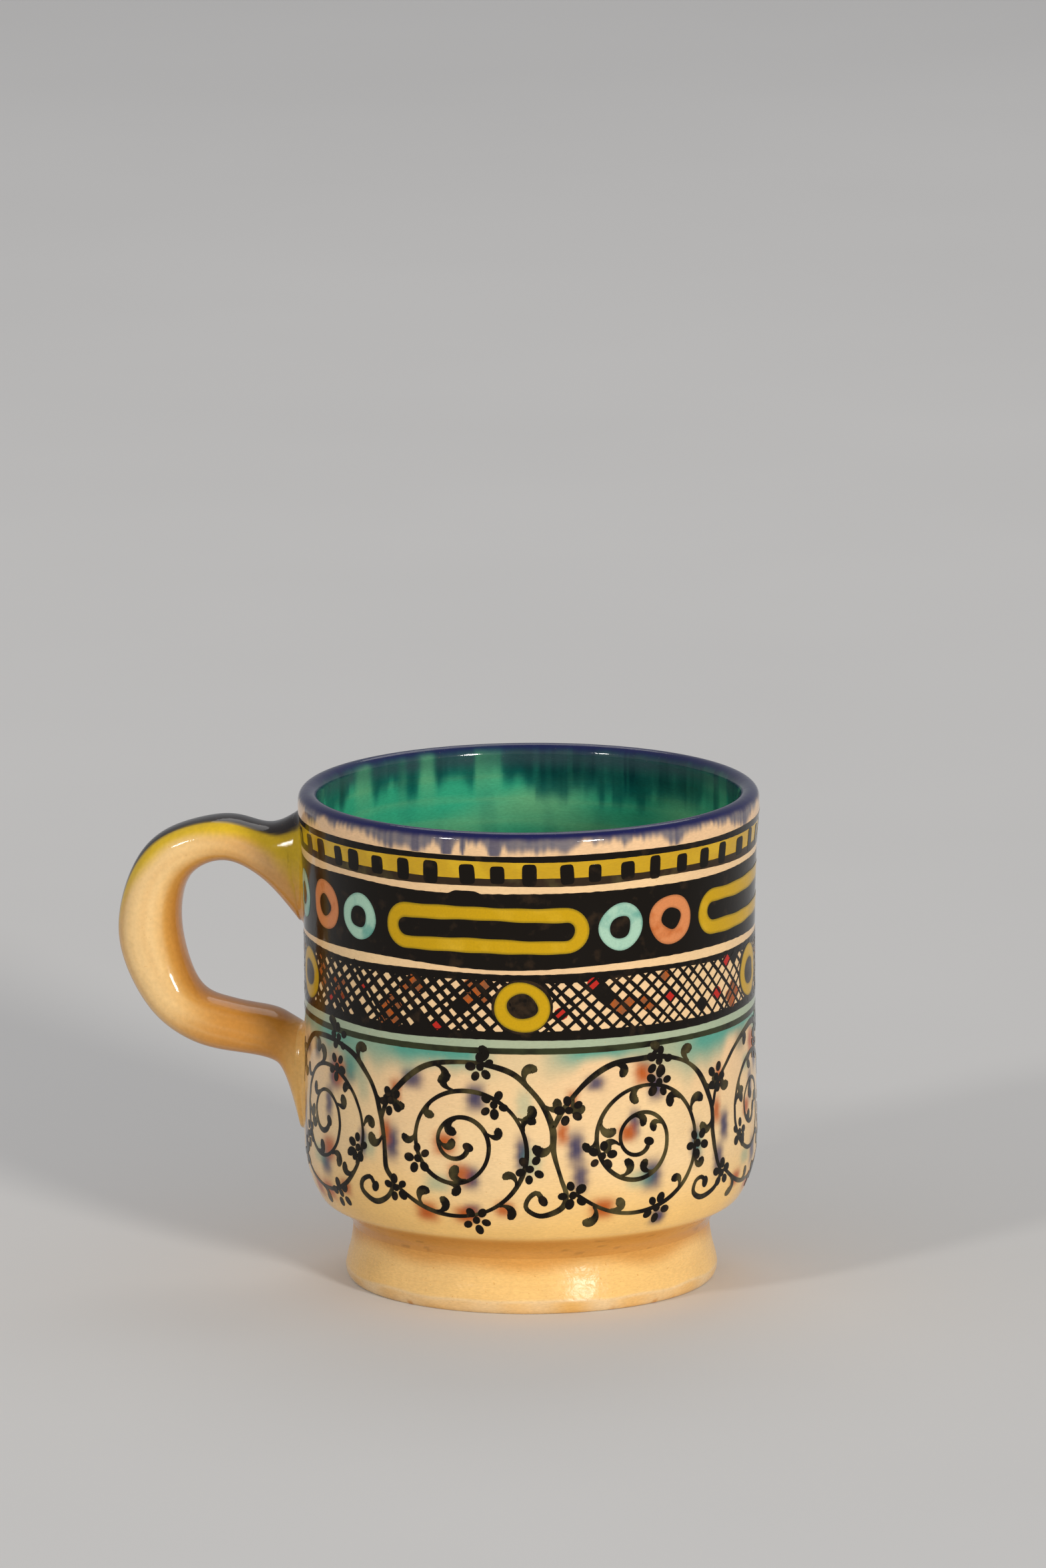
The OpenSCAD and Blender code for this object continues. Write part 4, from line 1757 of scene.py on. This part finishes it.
@dataclass
class RingBand:
    """Loops and rings painted on the dark band, and the rings on the lattice.

    Attributes:
        radius: Radius at which lengths along the wall are measured.
        middle_z: Height of the dark band's rings.
        lattice_z: Height of the lattice's rings.
        loops: Angles in degrees of the left and right end of each long loop.
        mint: Angles of the mint rings.
        orange: Angles of the orange rings.
        on_lattice: Angles of the yellow rings on the lattice.
        bow: Radius of the middle line at a loop's round ends.
        loop_half: Half width of a loop's stroke.
        rng: Source of their unevenness.
    """

    radius: float
    middle_z: float = 72.2
    lattice_z: float = 58.3
    loops: tuple[tuple[float, float], ...] = ((-38.5, 15.0), (47.5, 101.0), (133.0, 187.0))
    mint: tuple[float, ...] = (-81.0, -48.5, 23.4, 109.4, 195.4, 225.5)
    orange: tuple[float, ...] = (-63.7, 38.1, 124.2, 210.4, 240.0)
    on_lattice: tuple[float, ...] = (-76.0, -2.0, 75.0, 152.0, 229.0)
    bow: float = 2.95
    loop_half: float = 1.28
    rng: np.random.Generator = field(default_factory=lambda: np.random.default_rng(7))

    def x(self, degrees: float) -> float:
        """Length along the wall of an angle."""
        return math.radians(degrees) * self.radius

    def wavy(self, turn: Array, *waves: tuple[float, int]) -> Array:
        """Shares about 1 round a turn, from each wave's strength and number."""
        return sum((share * np.sin(count * turn + self.rng.uniform(0, 6)) for share, count in waves), 1.0)

    def ring(self, degrees: float, z: float, size: float, half: float, tall: float) -> Stroke:
        """One hand-drawn ring.

        Args:
            degrees: Angle of its middle.
            z: Height of its middle.
            size: Radius of its middle line.
            half: Half width of the stroke.
            tall: Height of the ring as a share of its width.

        Returns:
            The stroke.
        """
        turn = turns(44)
        sway = self.wavy(turn, (0.03, 2), (0.02, 3))
        wide, high = size * sway * np.cos(turn), size * tall * sway * np.sin(turn)
        press = self.wavy(turn, (0.09, 1), (0.05, 4))
        return Stroke(np.column_stack((self.x(degrees) + wide, z + high)), half * press, True)

    def loop(self, start: float, end: float) -> Stroke:
        """One long loop with round ends.

        Args:
            start: Angle of its left end.
            end: Angle of its right end.

        Returns:
            The stroke.
        """
        bow, tip = self.bow, self.bow + self.loop_half
        left, right = self.x(start) + tip, self.x(end) - tip
        outline = np.vstack((
            arc((right, 0.0), bow, -90, 90, 12), np.linspace((right, bow), (left, bow), 16)[1:-1],
            arc((left, 0.0), bow, 90, 270, 12), np.linspace((left, -bow), (right, -bow), 16)[1:-1],
        ))
        path = drawn(outline + (0.0, self.middle_z), 0.6, True)
        path[:, 1] += 0.16 * np.sin(path[:, 0] * 0.21 + self.rng.uniform(0, 6))
        press = self.wavy(turns(len(path)), (0.06, 3), (0.04, 11))
        return Stroke(path, self.loop_half * press, True)

    def build(self, painter: WallPainter) -> None:
        """Paints the loops and rings.

        Args:
            painter: Painter of the wall.
        """
        yellow = Paint("loop_yellow", Pigment.YELLOW, Pigment.STRAW, 6.0, 0.35, Pigment.OLIVE, 0.75)
        mint = Paint("ring_mint", Pigment.MINT, Pigment.SEA, 4.0, 0.5, Pigment.TEAL, 0.4)
        orange = Paint("ring_orange", Pigment.ORANGE, Pigment.RUST, 4.5, 0.3, Pigment.SIENNA, 0.6)
        dark = Paint("ring_ground", Pigment.UMBER, Pigment.BLACK, 1.4, 0.7)
        gold = [self.loop(a, b) for a, b in self.loops]
        gold += [self.ring(a, self.lattice_z, 3.88, 1.15, 0.9) for a in self.on_lattice]
        painter.strokes("yellow_loops", gold, Proud.RING, yellow.material())
        pale = [self.ring(a, self.middle_z, 3.15, 1.12, 1.02) for a in self.mint]
        painter.strokes("mint_rings", pale, Proud.RING, mint.material())
        warm = [self.ring(a, self.middle_z + 0.3, 3.4, 1.28, 0.98) for a in self.orange]
        painter.strokes("orange_rings", warm, Proud.RING, orange.material())
        grounds = [Mark(self.x(a), self.lattice_z, 0.0, 1.0, 0.98) for a in self.on_lattice]
        painter.touches("ring_grounds", grounds, oval(5.55, 5.1, 40), Proud.DISC, dark.material())


@dataclass
class LatticeBand:
    """The lattice with its filled cells.

    Attributes:
        radius: Radius at which lengths along the wall are measured.
        rings: Angles in degrees of the rings that lie on it.
        bottom: Height of its lower edge.
        top: Height of its upper edge.
        count: Lines of each direction in the turn.
        leans: How far the lines lean over, those of one direction left, the others right.
        halves: Half width of the lines of each direction.
        wider: How much wider the lines get a quarter turn to the right, as a share.
        slip: How far a line strays, as a share of the distance between two.
        sway: How far a line turns from its lean, in radians.
        points: Points along a line.
        press: Least and most width of a line, as shares.
        rows: Rows of cells above and below the middle one.
        seam: Length without new fillings where the turn closes.
        ring_half: Half width that is kept clear of fillings at a ring.
    """

    radius: float
    rings: tuple[float, ...]
    bottom: float = 52.9
    top: float = 63.6
    count: int = 91
    leans: tuple[float, float] = (10.6, 12.6)
    halves: tuple[float, float] = (0.43, 0.32)
    wider: float = -0.36
    slip: float = 0.15
    sway: float = 0.05
    points: int = 11
    press: tuple[float, float] = (0.75, 1.25)
    rows: int = 3
    seam: float = 3.0
    ring_half: float = 6.2

    @property
    def pitch(self) -> float:
        """Distance between two lines of one direction."""
        return TURN * self.radius / self.count

    @property
    def middle(self) -> float:
        """Height of the band's middle."""
        return (self.bottom + self.top) / 2

    def cell(self, column: int, row: int) -> Array:
        """Middle of a cell, counted along the band and up from its middle.

        Args:
            column: Number of the cell along the band.
            row: Number of the cell up from the band's middle.

        Returns:
            Its place along the wall and up it.
        """
        height = self.top - self.bottom
        y = row * self.pitch * height / sum(self.leans)
        x = (column + 0.5) * self.pitch - self.leans[0] * y / height
        return np.array((x, self.middle + y))

    def clear(self, spot: Array) -> bool:
        """Whether a place on the band is clear of its rings."""
        gaps = (spot[0] - math.radians(angle) * self.radius for angle in self.rings)
        return min(abs(wrapped(gap, TURN * self.radius)) for gap in gaps) > self.ring_half

    def fillings(self, seed: int, spacing: float, cluster: int, size: float) -> list[Mark]:
        """Cells picked to be filled, singly or in clusters.

        Args:
            seed: Choice of the cells.
            spacing: Usual distance from one to the next.
            cluster: Most cells in a cluster.
            size: Size of a filling, 1 for the cell's own.

        Returns:
            The marks.
        """
        rng = np.random.default_rng(seed)
        near = ((0, 0), (0, 1), (1, 1), (-1, -1), (0, -1), (1, 2))
        found = []
        along = rng.uniform(0, spacing)
        while along < TURN * self.radius - self.seam:
            column, row = round(along / self.pitch), int(rng.integers(-self.rows, self.rows + 1))
            for across, up in near[:int(rng.integers(1, cluster + 1))]:
                spot = self.cell(column + across, row + up)
                if abs(row + up) <= self.rows and self.clear(spot):
                    grow = size * rng.uniform(0.85, 1.12)
                    found.append(Mark(spot[0], spot[1], rng.normal(-0.1, 0.15), grow, grow))
            along += spacing * rng.uniform(0.6, 1.4)
        return found

    def build(self, painter: WallPainter, black: Surface) -> None:
        """Paints the lattice and its cells.

        Args:
            painter: Painter of the wall.
            black: Material of the lines and dark cells.
        """
        painter.lattice("lattice_lines", self, 17, Proud.LINE, black)
        red = Paint("cell_red", Pigment.RED, Pigment.SIENNA, 1.5, 0.1).material()
        rust = Paint("cell_rust", Pigment.SIENNA, Pigment.RUST, 1.2, 0.7).material()
        shape = oval(1.25, 1.12, 12, 1.7)
        painter.touches("red_cells", self.fillings(91, 9.0, 1, 1.0), shape, Proud.CELL, red)
        painter.touches("rust_cells", self.fillings(92, 9.0, 6, 1.0), shape, Proud.CELL, rust)
        painter.touches("dark_cells", self.fillings(93, 13.0, 2, 1.05), shape, Proud.DISC, black)


@dataclass
class DentilRow:
    """The dark dentils that rise from the line under the yellow band.

    Attributes:
        count: Number of dentils in the turn.
        base_z: Height of the line that they rise from.
        wide: Half width of a dentil.
        tall: Height of a dentil.
        uneven: Share by which places and sizes vary.
    """

    count: int = 44
    base_z: float = 80.6
    wide: float = 1.25
    tall: float = 3.8
    uneven: float = 0.15

    def build(self, painter: WallPainter, black: Surface) -> None:
        """Paints the row in black with the wall's painter."""
        outline, middle = oval(self.wide, self.tall / 2, 20, 4.6), self.base_z + self.tall / 2
        painter.row("dentils", outline, self.count, middle, self.uneven, 5, Proud.LINE, black)


@dataclass
class ScrollBand:
    """The scrolling stems with leaves and rosettes of dots.

    Attributes:
        radius: Radius at which lengths along the wall are measured.
        units: Angles of the scrolls' middles in degrees.
        middle_z: Height of the scrolls' middles.
        half: Half width of a scroll's line.
        strokes: Strokes drawn so far.
        dots: Dots set so far.
        rng: Source of their unevenness.
    """

    radius: float
    units: tuple[float, ...]
    middle_z: float
    half: float = 0.39
    strokes: list[Stroke] = field(default_factory=list)
    dots: list[Mark] = field(default_factory=list)
    rng: np.random.Generator = field(default_factory=lambda: np.random.default_rng(23))

    # Angles in degrees along a scroll, and its distance from the middle there
    TURNS = (
        215, 240, 270, 315, 350, 390, 440, 490, 536, 580,
        623, 660, 705, 760, 817, 887, 940, 990, 1030, 1060,
    )
    REACH = (
        16.2, 15.2, 14.1, 13.2, 12.5, 11.4, 10.1, 9.4, 9.0, 8.6,
        8.0, 6.8, 5.5, 4.9, 4.8, 4.7, 3.9, 2.8, 2.0, 1.5,
    )
    # The stem that arches over a scroll, its way on to the next one, and its end beside the handle
    STEM = (
        (-16.7, 2.8), (-14.9, 6.6), (-10.6, 11.0), (-5.8, 13.9), (0, 14.7), (4.8, 14.4), (9.6, 13.1),
        (12.9, 10.5), (15.2, 7.0),
    )
    ONWARD = (
        (16.8, 2.8), (17.1, -1.4), (18.2, -6.4), (19.3, -9.3), (18.2, -12.0), (14.6, -13.3), (11.9, -11.9),
        (12.0, -9.9), (14.0, -9.1), (15.0, -10.3),
    )
    ENDING = ((15.6, 3.4), (13.9, 1.6))
    # Shares of the lines at which leaves and rosettes grow
    SCROLL_LEAVES = (0.05, 0.095, 0.2, 0.235, 0.32, 0.37, 0.475, 0.53, 0.575, 0.68, 0.73, 0.8, 0.87, 0.94)
    STEM_LEAVES = (0.10, 0.22, 0.33, 0.47, 0.55, 0.64)
    SCROLL_ROSETTES = (0.005, 0.155, 0.275, 0.425, 0.625)
    STEM_ROSETTES = (0.07, 0.36)

    def leaf(self, spot: Array, heading: float, side: int, size: float) -> None:
        """Draws one comma leaf.

        Args:
            spot: Where it leaves the stem.
            heading: Direction of the stem there.
            side: 1 to the left of the stem, -1 to the right.
            size: Size of the leaf, 1 for the usual one.
        """
        bend = self.rng.uniform(0.8, 1.25)
        shape = size * np.array((
            (0.1, 0.3), (0.9, 0.5), (1.6, 1.1 * bend),
            (1.65, 1.8 * bend), (1.1, 2.25 * bend), (0.5, 2.1 * bend),
        ))
        turn = heading + self.rng.normal(0, 0.2)
        x = shape[:, 0] * math.cos(turn) - side * shape[:, 1] * math.sin(turn)
        y = shape[:, 0] * math.sin(turn) + side * shape[:, 1] * math.cos(turn)
        path = drawn(np.column_stack((x, y)) + spot, 0.3)
        t = np.linspace(0, 1, len(path))
        half = np.interp(t, (0, 0.25, 0.5, 0.72, 0.9, 1.0), (0.14, 0.32, 0.66, 0.86, 0.80, 0.42)) * size
        self.strokes.append(Stroke(path, half))

    def rosette(self, spot: Array, size: float) -> None:
        """Dots one rosette.

        Args:
            spot: Its middle.
            size: Its size, 1 for the usual one.
        """
        rng = self.rng
        start = rng.uniform(0, TURN)
        self.dots.append(Mark(*spot, start, 0.92 * size, 0.85 * size))
        for k in range(5):
            turn = start + TURN * k / 5 + rng.normal(0, 0.12)
            reach = 1.72 * size * rng.uniform(0.94, 1.1)
            grow = size * rng.uniform(0.88, 1.1)
            petal = spot + reach * np.array((math.cos(turn), math.sin(turn)))
            self.dots.append(Mark(*petal, turn, 1.15 * grow, 0.92 * grow))

    def along(self, line: Array, share: float) -> tuple[Array, float]:
        """Place and heading at a share of a line.

        Args:
            line: Points of the line.
            share: Share of its length.

        Returns:
            The point, and its heading in radians.
        """
        i = min(len(line) - 2, max(0, int(share * (len(line) - 1))))
        step = line[i + 1] - line[i]
        return line[i], math.atan2(step[1], step[0])

    def line(self, path: Array, half: float, start: float, end: float, knob: float) -> None:
        """Draws one line that ends in a dot.

        Args:
            path: Points of the line.
            half: Half width of the line.
            start: Share of the width at its start.
            end: Share of the width at its end.
            knob: Width of the dot.
        """
        self.strokes.append(Stroke(path, pressed(len(path), half, self.rng, start, end)))
        self.dots.append(Mark(*path[-1], self.rng.uniform(0, 3), knob, 1.0))

    def unit(self, degrees: float, last: bool) -> None:
        """Draws one scroll with its stem.

        Args:
            degrees: Angle of its middle.
            last: Whether the handle follows on its right.
        """
        rng = self.rng
        centre = np.array((math.radians(degrees) * self.radius, self.middle_z + rng.normal(0, 0.25)))
        turn = np.radians(np.arange(self.TURNS[0], self.TURNS[-1] + 1, 9.0))
        sway = 1 + 0.02 * np.sin(1.7 * turn + rng.uniform(0, 6))
        reach = np.interp(np.degrees(turn), self.TURNS, self.REACH) * sway
        spiral = np.column_stack((reach * np.cos(turn), reach * np.sin(turn)))
        scroll = drawn(centre + softened(spiral, 1.5))
        self.line(scroll, self.half, 0.9, 1.2, 1.35)
        keys = np.array(self.STEM + (self.ENDING if last else self.ONWARD))
        stem = drawn(centre + keys + rng.normal(0, 0.14, keys.shape))
        self.line(stem, 1.28 * self.half, 0.7, 0.9, 1.4)
        for number, share in enumerate(self.SCROLL_LEAVES):
            spot, heading = self.along(scroll, share + rng.normal(0, 0.012))
            side = 1 if (number + (rng.random() < 0.25)) % 2 else -1
            back = 0.0 if rng.random() < 0.7 else math.pi
            self.leaf(spot, heading + back, side, rng.uniform(0.92, 1.18))
        for number, share in enumerate(self.STEM_LEAVES):
            spot, heading = self.along(stem, share + rng.normal(0, 0.012))
            side, back = -1 if number % 2 else 1, 0.0 if number % 3 else math.pi
            self.leaf(spot, heading + back, side, rng.uniform(1.0, 1.25))
        for path, shares in ((scroll, self.SCROLL_ROSETTES), (stem, self.STEM_ROSETTES)):
            for share in shares:
                spot, heading = self.along(path, share + rng.normal(0, 0.008))
                aside = rng.choice((-1.0, 1.0)) * rng.uniform(0.4, 1.2)
                spot = spot + aside * np.array((-math.sin(heading), math.cos(heading)))
                self.rosette(spot, rng.uniform(1.0, 1.12))

    def build(self, painter: WallPainter, black: Surface) -> None:
        """Paints the scrolls.

        Args:
            painter: Painter of the wall.
            black: Material of the dots.
        """
        for degrees in self.units:
            self.unit(degrees, degrees == self.units[-1])
        iron = Paint("iron_line", Pigment.BLACK, Pigment.DRAB, 4.5, 0.55).material()
        painter.strokes("scroll_stems", self.strokes, Proud.LINE, iron)
        painter.touches("scroll_dots", self.dots, oval(0.79, 0.79, 14), Proud.DISC, black)


@dataclass
class Studio:
    """Camera, floor and lamps.

    Attributes:
        elevation: Angle of the view above the table, in degrees.
        roll: Turn of the view about its own line, in degrees.
        distance: Distance of the camera in metres.
        focal: Focal length in pixels of the frame.
        frame_h: Height of the frame in pixels.
        sensor: Width of the camera's sensor in millimetres.
        aim: Point at the frame's middle: to the right of the axis and above the table, in metres.
        floor_half: Half width of the floor in metres.
        floor_drop: How far the floor lies under the foot, in metres.
        lit_z: Height that the lamps are aimed at, in metres.
    """

    elevation: float = 11.70
    roll: float = 0.40
    distance: float = 3.135
    focal: float = 26000.0
    frame_h: float = 2351.0
    sensor: float = 36.0
    aim: tuple[float, float] = (-0.001, 0.0906)
    floor_half: float = 6.0
    floor_drop: float = 0.00005
    lit_z: float = 0.05

    def camera(self) -> None:
        """Sets up the camera at the photograph's angle."""
        a, e, r = FACING, math.radians(self.elevation), math.radians(self.roll)
        right = Vector((math.cos(a), math.sin(a), 0.0))
        ahead = Vector((-math.sin(a) * math.cos(e), math.cos(a) * math.cos(e), -math.sin(e)))
        up = right.cross(ahead)
        side = right * math.cos(r) - up * math.sin(r)
        top = up * math.cos(r) + right * math.sin(r)
        spot = right * self.aim[0] + Vector((0, 0, self.aim[1])) - ahead * self.distance
        data = bpy.data.cameras.new("camera")
        data.sensor_width = self.sensor
        data.lens = self.focal * self.sensor / self.frame_h
        data.clip_end = 50.0
        made = linked("camera", data)
        turned = Matrix((side, top, -ahead)).transposed().to_4x4()
        made.matrix_world = Matrix.Translation(spot) @ turned
        bpy.context.scene.camera = made

    def floor(self) -> None:
        """Lays the plain pale floor."""
        half, low = self.floor_half, -self.floor_drop
        corners = np.array([[x * half, y * half, low] for x, y in ((-1, -1), (1, -1), (1, 1), (-1, 1))])
        made = mesh_object("floor", corners, [[0, 1, 2, 3]])
        bench = FinishBench("pale_floor")
        cloud = bench.cloud(bench.noise(180.0, 3.0), 0.97, 1.0)
        made.data.materials.append(bench.dress({
            "Base Color": bench.mix(1.0, (0.80, 0.79, 0.77, 1.0), cloud, "MULTIPLY"),
            "Roughness": 0.85, "Specular IOR Level": 0.1,
        }))

    def lamp(
        self, name: str, spot: tuple[float, ...], size: float, power: float, warmth: tuple[float, ...],
    ) -> None:
        """Adds one soft round lamp aimed at the mug.

        Args:
            name: Name of the lamp.
            spot: Its place in metres.
            size: Width of the disc.
            power: Power in watts.
            warmth: Colour of the light.
        """
        data = bpy.data.lights.new(name, "AREA")
        data.shape, data.size, data.energy, data.color = "DISK", size, power, warmth
        made = linked(name, data)
        made.location = spot
        way = Vector((0, 0, self.lit_z)) - Vector(spot)
        made.rotation_euler = way.to_track_quat("-Z", "Y").to_euler()

    def light(self) -> None:
        """Lights the scene softly from the front, the side and behind."""
        world = bpy.data.worlds.new("soft_room")
        world.use_nodes = True
        bench = NodeBench(world.node_tree)
        bench.wire(bench.tree.nodes["Background"], {0: (0.95, 0.96, 1.0, 1.0), 1: 0.38})
        bpy.context.scene.world = world
        self.lamp("key", (3.16, -3.56, 1.12), 0.84, 148.0, (1.0, 0.97, 0.92))
        self.lamp("fill", (-1.0, -1.5, 1.0), 0.26, 7.5, (1.0, 0.98, 0.95))
        self.lamp("back", (-0.1, 1.0, 1.25), 0.9, 2.5, (1.0, 0.98, 0.96))

    def build(self) -> None:
        """Sets up camera, floor and lamps."""
        bpy.context.scene.view_settings.view_transform = "Standard"
        self.camera()
        self.floor()
        self.light()


def main() -> None:
    """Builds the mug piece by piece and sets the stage."""
    logging.basicConfig(level=logging.INFO, format="%(name)s: %(message)s")
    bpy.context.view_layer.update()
    lines = CupLines()
    Studio().build()
    body = CupBody(lines)
    wall = body.build()
    FootRing(lines).build()
    GlazedInside(lines).build()
    PulledHandle(lines).build()
    black = Paint("iron_black", Pigment.BLACK, Pigment.UMBER, 3.2, 0.15).material()
    PaintedBands(lines).build(black)
    painter = WallPainter(wall, lines.wall_r)
    DentilRow().build(painter, black)
    rings = RingBand(lines.wall_r)
    rings.build(painter)
    LatticeBand(lines.wall_r, rings.on_lattice).build(painter, black)
    ScrollBand(lines.wall_r, body.units, body.scroll_z).build(painter, black)


if __name__ == "__main__":
    main()
